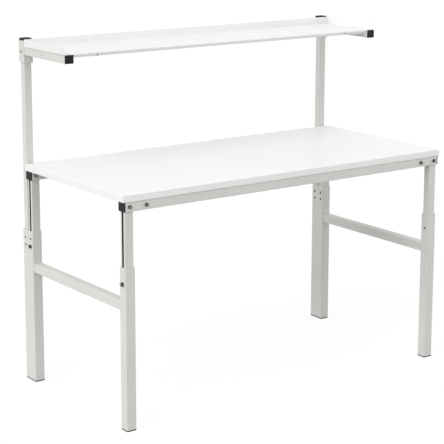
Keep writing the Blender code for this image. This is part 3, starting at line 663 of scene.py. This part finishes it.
def capped(node, axis, outward, corner, plug_inset, flange, rounding, crown):
    """A moulded cap in a node's box: a rounded, faintly crowned face, and a hollow plug behind it."""
    low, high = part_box(node)
    along, across, up = AXES[axis]
    size = high - low
    face = high[along] if outward > 0 else low[along]
    length = size[along]
    lead = 2 * EDGE_BREAK
    hollow = plug_inset + PLUG_WALL
    profile = [(rounding * CROWN_ROUNDINGS, 0)]
    profile += [(inset, crown + depth) for inset, depth in quarter(rounding)]
    profile += [
        (0, flange - EDGE_BREAK), (EDGE_BREAK, flange), (plug_inset, flange),
        (plug_inset, length - lead), (plug_inset + lead, length), (hollow, length), (hollow, flange),
    ]
    levels = [(inset, face - outward * depth) for inset, depth in profile]
    return stacked(levels, boxed(size[across], size[up], corner), axis, (low + high) / 2)


# Fasteners

def cap_screw(name, node, axis, outward, height, bright, rim_shade_finish, shaded_socket=0.0, washer=0.0):
    """A cap screw in a node's box: its face is zinc out to a radius as a painted highlight, and past that
    radius its rim and side are dark as painted shade.
    """
    low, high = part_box(node)
    along = AXES[axis][0]
    seat = (low + high) / 2
    length = high[along] - low[along] - height
    seat[along] = (high[along] if outward > 0 else low[along]) - outward * height
    direction = [0, 0, 0]
    direction[along] = outward
    profile = [(SHANK_TIP_RADIUS, -length), (SHANK_RADIUS, SHANK_TIP_LENGTH - length), (SHANK_RADIUS, 0)]
    if washer:
        profile += [
            (WASHER_RADIUS - EDGE_BREAK, 0), (WASHER_RADIUS, EDGE_BREAK),
            (WASHER_RADIUS, washer - EDGE_BREAK), (WASHER_RADIUS - EDGE_BREAK, washer),
        ]
    profile += [(SCREW_HEAD_RADIUS - EDGE_BREAK, washer), (SCREW_HEAD_RADIUS, washer + EDGE_BREAK)]
    profile += [(SCREW_HEAD_RADIUS - inset, height - depth) for inset, depth in HEAD_ROUNDING]
    profile += [(bright, height), (SOCKET_RIM_RADIUS, height)]
    socket = [(flats, height - depth) for flats, depth in SOCKET]
    dark = painted_shade_faces(seat, direction, shaded_socket, height - SOCKET_SHADE_DEPTH, bright)
    shape = screw_shape(profile, socket, seat, direction)
    dress(name, shape, node, dark=dark, dark_finish=rim_shade_finish)


def painted_shade_faces(seat, direction, socket, floor, rim_shade_from=inf):
    """A test for the faces that carry painted shade: a screw's socket above its floor, and those past a
    radius.
    """
    seat = Vector(seat)
    direction = Vector(direction)

    def test(point):
        away = Vector(point) - seat
        height = away.dot(direction)
        radius = (away - direction * height).length
        return (height > floor and radius < socket) or radius > rim_shade_from

    return test


def set_screw(name, node, side):
    """A headless screw with a hexagon socket, in a node's box."""
    low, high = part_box(node)
    seat = (low + high) / 2
    length = high.x - low.x
    seat.x = high.x if side > 0 else low.x
    profile = ((SET_TIP_RADIUS, -length), (SET_RADIUS, SET_TIP_LENGTH - length), *SET_END)
    dress(name, screw_shape(profile, SET_SOCKET, seat, (side, 0, 0)), node)


def pan_screw(name, node):
    """A small screw with a pan head and a hexagon socket with painted shade in it, in a node's box."""
    low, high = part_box(node)
    seat = (low + high) / 2
    seat.z = high.z - PAN_HEIGHT
    length = seat.z - low.z
    upward = (0, 0, 1)
    shank = ((PAN_TIP_RADIUS, -length), (PAN_SHANK_RADIUS, PAN_TIP_LENGTH - length), (PAN_SHANK_RADIUS, 0))
    shape = screw_shape(shank + PAN_HEAD, PAN_SOCKET, seat, upward)
    dress(name, shape, node, dark=painted_shade_faces(seat, upward, *PAN_SHADE))


def side_screw(name, body, seat, side):
    """The round head of a small screw, with painted shade in its hexagon socket, in an arm's outer side."""
    direction = (side, 0, 0)
    made = add_mesh(name, screw_shape(SIDE_HEAD, SIDE_SOCKET, seat, direction))
    finish_piece(made, "zinc", body, dark=painted_shade_faces(seat, direction, *SIDE_SHADE))


# Worktop: a laminated board with an edge band all round

def make_worktop():
    low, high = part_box("worktop")
    size = high - low
    outlines = boxed(size.x, size.y, ARRIS)
    band = [(BAND, low.z + SEAM), (BAND - SEAM, low.z)]
    band += [(inset, low.z + depth) for inset, depth in quarter(ARRIS)]
    band += [(inset, high.z - depth) for inset, depth in reversed(quarter(ARRIS))]
    band += [(BAND - SEAM, high.z), (BAND, high.z - SEAM)]
    board_side = BAND + SEAM / 2
    board = [
        (board_side + SEAM, low.z), (board_side, low.z + SEAM),
        (board_side, high.z - SEAM), (board_side + SEAM, high.z),
    ]
    centre = (low + high) / 2
    dress("worktop_board", stacked(board, outlines, "Z", centre), "worktop")
    edge = add_mesh("worktop_edge_band", stacked(band, outlines, "Z", centre, closed=True))
    finish_piece(edge, "laminate", "top_frame", edge_band_finish)


# Beams, with the screws and caps in them

def make_beams():
    for place in PLACES:
        node = f"beam_{place}"
        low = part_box(node)[0]
        front_wall = low.y + BEAM_WALL / 2
        cuts = []
        for side_name, side in SIDES:
            for where in ("outer", "inner"):
                corner = f"{place}_{side_name}_{where}"
                screw = f"beam_bolt_{corner}"
                spot = middle(screw)
                cuts.append(drill((spot.x, front_wall, spot.z), "Y", BOLT_HOLE_RADIUS, BEAM_WALL / 2))
                cap_screw(
                    f"beam_screw_{corner}", screw, "Y", -1, BEAM_SCREW_HEIGHT, BEAM_SCREW_HIGHLIGHT, bare_steel_and_shade,
                    shaded_socket=SOCKET_SHADE_REACH,
                )
            cuts.append(stem_hole(place, side_name, side, low.z))
            cap = f"beam_cap_{place}_{side_name}"
            shape = capped(cap, "X", side, BEAM_CORNER, BEAM_WALL + SLIDE_GAP, **BEAM_CAP)
            dress(f"beam_end_cap_{place}_{side_name}", shape, cap)
        dress(f"beam_tube_{place}", tube(node, "X", BEAM_WALL, BEAM_CORNER), node, cuts)


def stem_middle(place, side_name, side):
    """The middle of the stem that joins a channel to its head."""
    x = middle(f"outer_leg_{place}_{side_name}").x
    inner_face = x - side * (CHANNEL_WIDTH / 2 - CHANNEL_WALL)
    return inner_face + side * (STEM_WIDTH / 2 - STEM_WELD), middle(f"lock_nut_{place}_{side_name}").y


def stem_hole(place, side_name, side, bottom):
    """A cutter for the stem's hole in the beam's underside."""
    x, y = stem_middle(place, side_name, side)
    outline = rounded_rectangle(STEM_WIDTH + 2 * TOUCH_GAP, STEM_DEPTH + 2 * TOUCH_GAP, STEM_HOLE_CORNER)
    start = bottom - BEAM_WALL
    end = bottom + 2 * BEAM_WALL
    return skin([ring(outline, start, "Z", (x, y, 0)), ring(outline, end, "Z", (x, y, 0))])


# Inner legs: folded channels with their slot outwards, and a head in the beam

def channel_outline(side):
    """The outline of a channel with its slot to one side."""
    half_width = CHANNEL_WIDTH / 2
    half_depth = CHANNEL_DEPTH / 2
    in_width = half_width - CHANNEL_WALL
    in_depth = half_depth - CHANNEL_WALL
    corners = [
        ((half_width, SLOT_HALF), SLOT_EDGE),
        ((half_width, half_depth), CHANNEL_CORNER),
        ((-half_width, half_depth), CHANNEL_CORNER),
        ((-half_width, -half_depth), CHANNEL_CORNER),
        ((half_width, -half_depth), CHANNEL_CORNER),
        ((half_width, -SLOT_HALF), SLOT_EDGE),
        ((in_width, -SLOT_HALF), SLOT_EDGE),
        ((in_width, -in_depth), CHANNEL_INNER_CORNER),
        ((-in_width, -in_depth), CHANNEL_INNER_CORNER),
        ((-in_width, in_depth), CHANNEL_INNER_CORNER),
        ((in_width, in_depth), CHANNEL_INNER_CORNER),
        ((in_width, SLOT_HALF), SLOT_EDGE),
    ]
    return [(side * u, v) for u, v in filleted(corners, CHANNEL_STEPS)]


def bare_head_and_shaded_inside(x, y, top, side):
    """A test for a leg's dark faces: its bare head and stem, and painted shade on its inside and the edges
    of its slot.
    """
    reach_x = CHANNEL_WIDTH / 2 - CHANNEL_SHADE_INSET
    reach_y = CHANNEL_DEPTH / 2 - CHANNEL_SHADE_INSET

    def test(point):
        across = point.x - x
        along = abs(point.y - y)
        in_slot = along < SLOT_HALF + SLOT_EDGE / 2 and side * across > 0
        return point.z > top or (along < reach_y and (abs(across) < reach_x or in_slot))

    return test


def leg_head(place, side_name, side):
    """The tube in the beam that the beam screws go into, from the cap's plug inwards."""
    low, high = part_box(f"inner_leg_{place}_{side_name}")
    beam_low, beam_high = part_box(f"beam_{place}")
    cap_low, cap_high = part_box(f"beam_cap_{place}_{side_name}")
    size = beam_high - beam_low
    fit = 2 * (BEAM_WALL + TOUCH_GAP)
    outer_end = (cap_low.x if side > 0 else cap_high.x) - side * TOUCH_GAP
    inner_end = low.x if side > 0 else high.x
    profile = [(0, outer_end), (0, inner_end), (HEAD_WALL, inner_end), (HEAD_WALL, outer_end)]
    outlines = boxed(size.y - fit, size.z - fit, SMALL_CORNER)
    return stacked(profile, outlines, "X", (beam_low + beam_high) / 2, closed=True)


def make_inner_legs():
    for place in PLACES:
        beam_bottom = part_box(f"beam_{place}")[0].z
        top = beam_bottom - TOUCH_GAP
        stem_levels = (top - STEM_DROP, beam_bottom + BEAM_WALL + TOUCH_GAP + STEM_WELD)
        for side_name, side in SIDES:
            node = f"inner_leg_{place}_{side_name}"
            x = middle(f"outer_leg_{place}_{side_name}").x
            y = middle(f"lock_nut_{place}_{side_name}").y
            outline = channel_outline(side)
            channel = skin([ring(outline, level, "Z", (x, y, 0)) for level in (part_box(node)[0].z, top)])
            stem_place = (*stem_middle(place, side_name, side), 0)
            stem_outline = rounded_rectangle(STEM_WIDTH, STEM_DEPTH, STEM_CORNER)
            stem = skin([ring(stem_outline, level, "Z", stem_place) for level in stem_levels])
            shape = joined(channel, stem, leg_head(place, side_name, side))
            # The channel's inside and its slot edges are dark as painted shade; its head and stem are bare
            dress(f"leg_channel_{place}_{side_name}", shape, node, dark=bare_head_and_shaded_inside(x, y, top, side))


# Outer legs, their guides, glides and lock screws

def make_outer_legs():
    for place in PLACES:
        for side_name, side in SIDES:
            node = f"outer_leg_{place}_{side_name}"
            low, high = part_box(node)
            centre = (low + high) / 2
            half = (high.x - low.x) / 2
            lock = middle(f"lock_nut_{place}_{side_name}")
            holes = [(lock.y, lock.z)]
            pockets = [(lock.y, CHANNEL_WIDTH, CHANNEL_DEPTH)]
            if place == "rear":
                post_low, post_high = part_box(f"upright_{side_name}")
                post = (post_low + post_high) / 2
                upper = middle(f"upright_screw_upper_{side_name}").z
                lower = middle(f"upright_screw_lower_{side_name}").z
                holes += [(lock.y, upper), (post.y, upper), (post.y, lower)]
                pockets.append((post.y, post_high.x - post_low.x, post_high.y - post_low.y))
            cuts = [drill((centre.x, y, z), "X", LEG_HOLE_RADIUS, half) for y, z in holes]
            for k, (y, z) in enumerate(holes):
                hole_shade_plug(f"hole_plug_{place}_{side_name}_{k + 1}", (centre.x - side * half, y, z), -side)
            dress(f"leg_tube_{place}_{side_name}", tube(node, "Z", LEG_WALL, LEG_CORNER), node, cuts)
            bolt = f"lock_bolt_{place}_{side_name}"
            screw = f"lock_screw_{place}_{side_name}"
            cap_screw(
                bolt, screw, "X", side, LOCK_SCREW_HEIGHT, LOCK_SCREW_HIGHLIGHT, oxide_and_shade_steel,
                washer=WASHER_THICKNESS,
            )
            make_guide(place, side_name, centre.x, pockets)
            glide = f"foot_glide_{place}_{side_name}"
            shape = capped(glide, "Z", -1, LEG_CORNER, LEG_WALL + SLIDE_GAP, **FOOT_CAP)
            dress(f"foot_{place}_{side_name}", shape, glide)


def hole_shade_plug(name, mouth, outward):
    """A black plug, a little below the face, in a hole of a leg's inner side, put there as painted shade for
    the hole's dark.
    """
    outlines = [(circle(radius), height) for radius, height in HOLE_SHADE_PLUG]
    made = add_mesh(name, turned(outlines, mouth, (outward, 0, 0)))
    finish_piece(made, "black_plastic", "lower_frame")


def make_guide(place, side_name, x, pockets):
    """The plastic guide in a leg's top, with lead-ins round its pockets."""
    node = f"leg_guide_{place}_{side_name}"
    low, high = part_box(node)
    size = high - low
    lead = GUIDE_LEAD
    profile = [(lead, low.z), (0, low.z + lead), (0, high.z - lead), (lead, high.z)]
    pocket = [
        (-lead, low.z - CUT_PAST), (-lead, low.z), (0, low.z + lead),
        (0, high.z - lead), (-lead, high.z), (-lead, high.z + CUT_PAST),
    ]
    cuts = []
    for y, width, depth in pockets:
        outlines = boxed(width + 2 * SLIDE_GAP, depth + 2 * SLIDE_GAP, POCKET_CORNER)
        cuts.append(stacked(pocket, outlines, "Z", (x, y, 0)))
    body = stacked(profile, boxed(size.x, size.y, LEG_CORNER - LEG_WALL), "Z", (low + high) / 2)
    dress(f"guide_insert_{place}_{side_name}", body, node, cuts)


# Cross rails, uprights and their caps and set screws

def make_side_frames():
    for side_name, side in SIDES:
        node = f"cross_rail_{side_name}"
        low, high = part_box(node)
        centre = (low + high) / 2
        dress(f"rail_tube_{side_name}", tube(node, "Y", RAIL_WALL, RAIL_CORNER), node)
        front_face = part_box(f"outer_leg_front_{side_name}")[1].y
        rear_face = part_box(f"outer_leg_rear_{side_name}")[0].y
        for end, face, sign in (("front", front_face, 1), ("rear", rear_face, -1)):
            bead = f"weld_rail_{end}_{side_name}"
            weld_bead(bead, "lower_frame", high - low, RAIL_CORNER, face, sign, centre)

        post = f"upright_{side_name}"
        dress(f"post_tube_{side_name}", tube(post, "Z", POST_WALL, POST_CORNER), post)
        cap = f"upright_cap_{side_name}"
        post_low, post_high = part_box(post)
        cap_low, cap_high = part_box(cap)
        overhang = (cap_high.x - cap_low.x - post_high.x + post_low.x) / 2
        plug_inset = overhang + POST_WALL + SLIDE_GAP
        shape = capped(cap, "Z", 1, POST_CAP_CORNER, plug_inset, **POST_CAP)
        dress(f"post_cap_{side_name}", shape, cap)
        for row in ("upper", "lower"):
            set_screw(f"post_set_screw_{row}_{side_name}", f"upright_screw_{row}_{side_name}", side)


# Shelf: sleeves, arms and tray

def make_sleeve(side_name, side):
    """A sleeve with its lower rear edge cut off, and the hole of its set screw."""
    node = f"shelf_sleeve_{side_name}"
    low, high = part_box(node)
    centre = (low + high) / 2
    far = high.y - low.y
    wedge = [
        (high.y - SLEEVE_CHAMFER - far, low.z - far),
        (high.y + far, low.z + SLEEVE_CHAMFER + far),
        (high.y + far, low.z - far),
    ]
    wedge_shape = skin([[(x, y, z) for y, z in wedge] for x in (centre.x - far, centre.x + far)])
    screw = middle(f"sleeve_screw_{side_name}")
    wall_middle = centre.x + side * ((high.x - low.x) / 2 - SLEEVE_WALL / 2)
    hole = drill((wall_middle, screw.y, screw.z), "X", SLEEVE_HOLE_RADIUS, SLEEVE_WALL / 2)
    shape = tube(node, "Z", SLEEVE_WALL, SLEEVE_CORNER)
    dress(f"collar_{side_name}", shape, node, (wedge_shape, hole))
    set_screw(f"collar_set_screw_{side_name}", f"sleeve_screw_{side_name}", side)


def make_arm(side_name, side):
    """An arm that is welded to its sleeve, with its cap and the screws in it."""
    arm = f"shelf_arm_{side_name}"
    low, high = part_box(arm)
    centre = (low + high) / 2
    spot = middle(f"tray_screw_{side_name}")
    hole = drill((spot.x, spot.y, high.z - ARM_WALL / 2), "Z", TRAY_HOLE_RADIUS, ARM_WALL / 2)
    dress(f"arm_tube_{side_name}", tube(arm, "Y", ARM_WALL, ARM_CORNER), arm, (hole,))
    sleeve_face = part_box(f"shelf_sleeve_{side_name}")[0].y
    weld_bead(f"weld_arm_{side_name}", "shelf", high - low, ARM_CORNER, sleeve_face, -1, centre)
    cap = f"arm_cap_{side_name}"
    shape = capped(cap, "Y", -1, ARM_CORNER, ARM_CAP_OVERHANG + ARM_WALL + SLIDE_GAP, **ARM_CAP)
    dress(f"arm_end_cap_{side_name}", shape, cap)
    pan_screw(f"tray_fixing_{side_name}", f"tray_screw_{side_name}")
    seat = (high.x if side > 0 else low.x, SIDE_SCREW_Y, centre.z)
    side_screw(f"arm_side_screw_{side_name}", "shelf", seat, side)


def make_brackets():
    for side_name, side in SIDES:
        make_sleeve(side_name, side)
        make_arm(side_name, side)


def rim_rows(top, floor_top):
    """The rims' section as set in and level, from the outer bend over the top to the inner bend."""
    floor_bottom = floor_top - SHEET
    near = RIM_EDGE * RIM_EDGE_SHARE
    rows = [(inset, floor_bottom + depth) for inset, depth in quarter(BEND, BEND_STEPS)]
    rows += [(0, top - RIM_EDGE), (near, top - near), (RIM_EDGE, top)]
    rows += [(SHEET - inset, level) for inset, level in reversed(rows[-3:])]
    inner_bend = reversed(quarter(BEND - SHEET, BEND_STEPS))
    return rows + [(SHEET + inset, floor_top + depth) for inset, depth in inner_bend]


def rim_path(high, front, inset):
    """The rims' line in plan, from the left front to the right front."""
    x = high.x - inset
    y = high.y - inset
    radius = max(TRAY_CORNER - inset, SMALL_CORNER)
    points = [(-x, front)]
    for k in range(CORNER_STEPS + 1):
        angle = pi / 2 * k / CORNER_STEPS
        points.append((-x + radius * (1 - cos(angle)), y - radius * (1 - sin(angle))))
    return points + [(-u, v) for u, v in reversed(points)]


def lip_lines(low, floor_top):
    """The lip's section in Y and Z, outside and inside: its bend and then its straight end."""
    centre = Vector((low.y + BEND, floor_top - BEND))
    outside = []
    inside = []
    for k in range(1, LIP_STEPS + 1):
        angle = pi / 2 - (pi / 2 + LIP_LEAN) * k / LIP_STEPS
        spoke = Vector((-cos(angle), sin(angle)))
        outside.append(centre + spoke * BEND)
        inside.append(centre + spoke * (BEND - SHEET))
    down = Vector((sin(LIP_LEAN), -cos(LIP_LEAN)))
    rest = (outside[-1].y - low.z) / cos(LIP_LEAN)
    outside.append(outside[-1] + down * rest)
    inside.append(inside[-1] + down * rest)
    return outside, inside


def tray_shape(low, high, floor_top, lip_end):
    """The folded sheet: rims, a floor that is notched at the front corners, and the lip."""
    vertices = []
    faces = []

    def add(point):
        vertices.append(point)
        return len(vertices) - 1

    grid = []
    for inset, level in rim_rows(high.z, floor_top):
        grid.append([add((x, y, level)) for x, y in rim_path(high, low.y, inset)])
    for one, other in zip(grid, grid[1:]):
        for k in range(len(one) - 1):
            faces.append((one[k], one[k + 1], other[k + 1], other[k]))
    faces.append(tuple(row[0] for row in grid))
    faces.append(tuple(row[-1] for row in grid))

    notch = {}
    for face, level in (("top", floor_top), ("bottom", floor_top - SHEET)):
        for side in (-1, 1):
            for where, y in (("front", low.y), ("seam", low.y + BEND)):
                notch[face, side, where] = add((side * lip_end, y, level))
    for face, row in (("top", grid[-1]), ("bottom", grid[0])):
        corners = ((1, "front"), (1, "seam"), (-1, "seam"), (-1, "front"))
        faces.append(tuple(row + [notch[face, side, where] for side, where in corners]))
    for side, end in ((1, -1), (-1, 0)):
        step = (notch["bottom", side, "front"], notch["top", side, "front"])
        faces.append((grid[-1][end], grid[0][end], *step))
        faces.append((*reversed(step), notch["bottom", side, "seam"], notch["top", side, "seam"]))

    last = [notch[face, side, "seam"] for face in ("top", "bottom") for side in (-1, 1)]
    for lines in zip(*lip_lines(low, floor_top)):
        now = [add((side * lip_end, y, z)) for y, z in lines for side in (-1, 1)]
        for one, other in ((0, 1), (2, 3), (0, 2), (1, 3)):
            faces.append((last[one], last[other], now[other], now[one]))
        last = now
    faces.append((last[0], last[1], last[3], last[2]))
    return vertices, faces


def lip_screw(name, mouth, outward):
    """A zinc screw in the lip, with painted shade in its hexagon socket."""
    seat = mouth + outward * LIP_SCREW_LIFT
    made = add_mesh(name, screw_shape(LIP_SCREW, LIP_SOCKET, seat, outward))
    finish_piece(made, "zinc", "shelf", dark=painted_shade_faces(seat, outward, *LIP_SHADE))


def make_tray():
    """One folded sheet with round bends, and the screws in its lip."""
    low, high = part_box("shelf_tray")
    floor_top = high.z - TRAY_RIM
    lip_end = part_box("arm_cap_right")[0].x - TOUCH_GAP
    outside = lip_lines(low, floor_top)[0]
    lip_middle = (outside[-2] + outside[-1]) / 2
    outward = Vector((0, -cos(LIP_LEAN), -sin(LIP_LEAN)))
    hole = [(circle(LIP_HOLE_RADIUS), height) for height in (-2 * CUT_PAST, CUT_PAST)]
    cuts = []
    for side_name, side in SIDES:
        mouth = Vector((side * (lip_end - LIP_HOLE_INSET), *lip_middle))
        cuts.append(turned(hole, mouth, outward))
        lip_screw(f"lip_screw_{side_name}", mouth, outward)
        spot = middle(f"tray_screw_{side_name}")
        cuts.append(drill((spot.x, spot.y, floor_top - SHEET / 2), "Z", TRAY_HOLE_RADIUS, SHEET / 2))
    dress("tray_sheet", tray_shape(low, high, floor_top, lip_end), "shelf_tray", cuts)


make_worktop()
make_beams()
make_inner_legs()
make_outer_legs()
make_side_frames()
make_brackets()
make_tray()


# Floor, light and camera

def make_floor():
    """A white floor that glows to the camera, so that only the shadow on it shows."""
    mesh = bpy.data.meshes.new("floor")
    corners = [(x * FLOOR_REACH, y * FLOOR_REACH, 0) for x, y in ((-1, -1), (1, -1), (1, 1), (-1, 1))]
    mesh.from_pydata(corners, [], [(0, 1, 2, 3)])
    floor = bpy.data.objects.new("floor", mesh)
    bpy.context.scene.collection.objects.link(floor)
    made = bpy.data.materials.new("floor_white")
    made.use_nodes = True
    tree = made.node_tree
    tree.nodes.clear()
    ray = tree.nodes.new("ShaderNodeLightPath")
    pale = tree.nodes.new("ShaderNodeBsdfDiffuse")
    pale.inputs["Color"].default_value = (FLOOR_BOUNCE,) * 3 + (1,)
    matt = tree.nodes.new("ShaderNodeBsdfDiffuse")
    matt.inputs["Color"].default_value = (FLOOR_PAINT,) * 3 + (1,)
    glow = tree.nodes.new("ShaderNodeEmission")
    glow.inputs["Strength"].default_value = FLOOR_GLOW
    seen = tree.nodes.new("ShaderNodeAddShader")
    mixed = tree.nodes.new("ShaderNodeMixShader")
    camera_or_glossy = tree.nodes.new("ShaderNodeMath")
    camera_or_glossy.operation = "MAXIMUM"
    output = tree.nodes.new("ShaderNodeOutputMaterial")
    links = tree.links
    links.new(matt.outputs[0], seen.inputs[0])
    links.new(glow.outputs[0], seen.inputs[1])
    links.new(ray.outputs["Is Camera Ray"], camera_or_glossy.inputs[0])
    links.new(ray.outputs["Is Glossy Ray"], camera_or_glossy.inputs[1])
    links.new(camera_or_glossy.outputs[0], mixed.inputs[0])
    links.new(pale.outputs[0], mixed.inputs[1])
    links.new(seen.outputs[0], mixed.inputs[2])
    links.new(mixed.outputs[0], output.inputs["Surface"])
    mesh.materials.append(made)


def make_sky():
    """A white surround to the eye, and a little less bright as a light."""
    world = bpy.data.worlds.new("sky")
    world.use_nodes = True
    tree = world.node_tree
    background = tree.nodes["Background"]
    ray = tree.nodes.new("ShaderNodeLightPath")
    seen = None
    for name in ("Is Camera Ray", "Is Glossy Ray", "Is Transmission Ray"):
        if seen is None:
            seen = ray.outputs[name]
            continue
        either = tree.nodes.new("ShaderNodeMath")
        either.operation = "MAXIMUM"
        tree.links.new(seen, either.inputs[0])
        tree.links.new(ray.outputs[name], either.inputs[1])
        seen = either.outputs[0]
    strength = tree.nodes.new("ShaderNodeMapRange")
    strength.inputs["To Min"].default_value = SKY
    strength.inputs["To Max"].default_value = SKY_SEEN
    tree.links.new(seen, strength.inputs["Value"])
    tree.links.new(strength.outputs["Result"], background.inputs["Strength"])
    background.inputs["Color"].default_value = (1, 1, 1, 1)
    bpy.context.scene.world = world


def make_lamps():
    """Broad suns, each of a radiance that a white face would take on."""
    for name, strength, come_from in LAMPS:
        lamp = bpy.data.lights.new(name, "SUN")
        lamp.energy = strength * pi
        lamp.angle = LAMP_ANGLE
        light = bpy.data.objects.new(name, lamp)
        light.rotation_mode = "QUATERNION"
        light.rotation_quaternion = Vector((0, 0, 1)).rotation_difference(Vector(come_from))
        bpy.context.scene.collection.objects.link(light)


def make_camera():
    """The photograph's viewpoint."""
    lens = bpy.data.cameras.new("camera")
    lens.lens = CAMERA_LENS
    lens.sensor_width = CAMERA_SENSOR
    lens.shift_y = CAMERA_SHIFT
    lens.clip_end = CAMERA_END
    camera = bpy.data.objects.new("camera", lens)
    turn = Matrix.Rotation(-CAMERA_YAW, 4, "Z") @ Matrix.Rotation(pi / 2 - CAMERA_PITCH, 4, "X")
    camera.matrix_world = Matrix.Translation(CAMERA_PLACE) @ turn @ Matrix.Rotation(CAMERA_ROLL, 4, "Z")
    bpy.context.scene.collection.objects.link(camera)
    bpy.context.scene.camera = camera


make_floor()
make_sky()
make_lamps()
make_camera()
bpy.context.scene.view_settings.view_transform = "Standard"
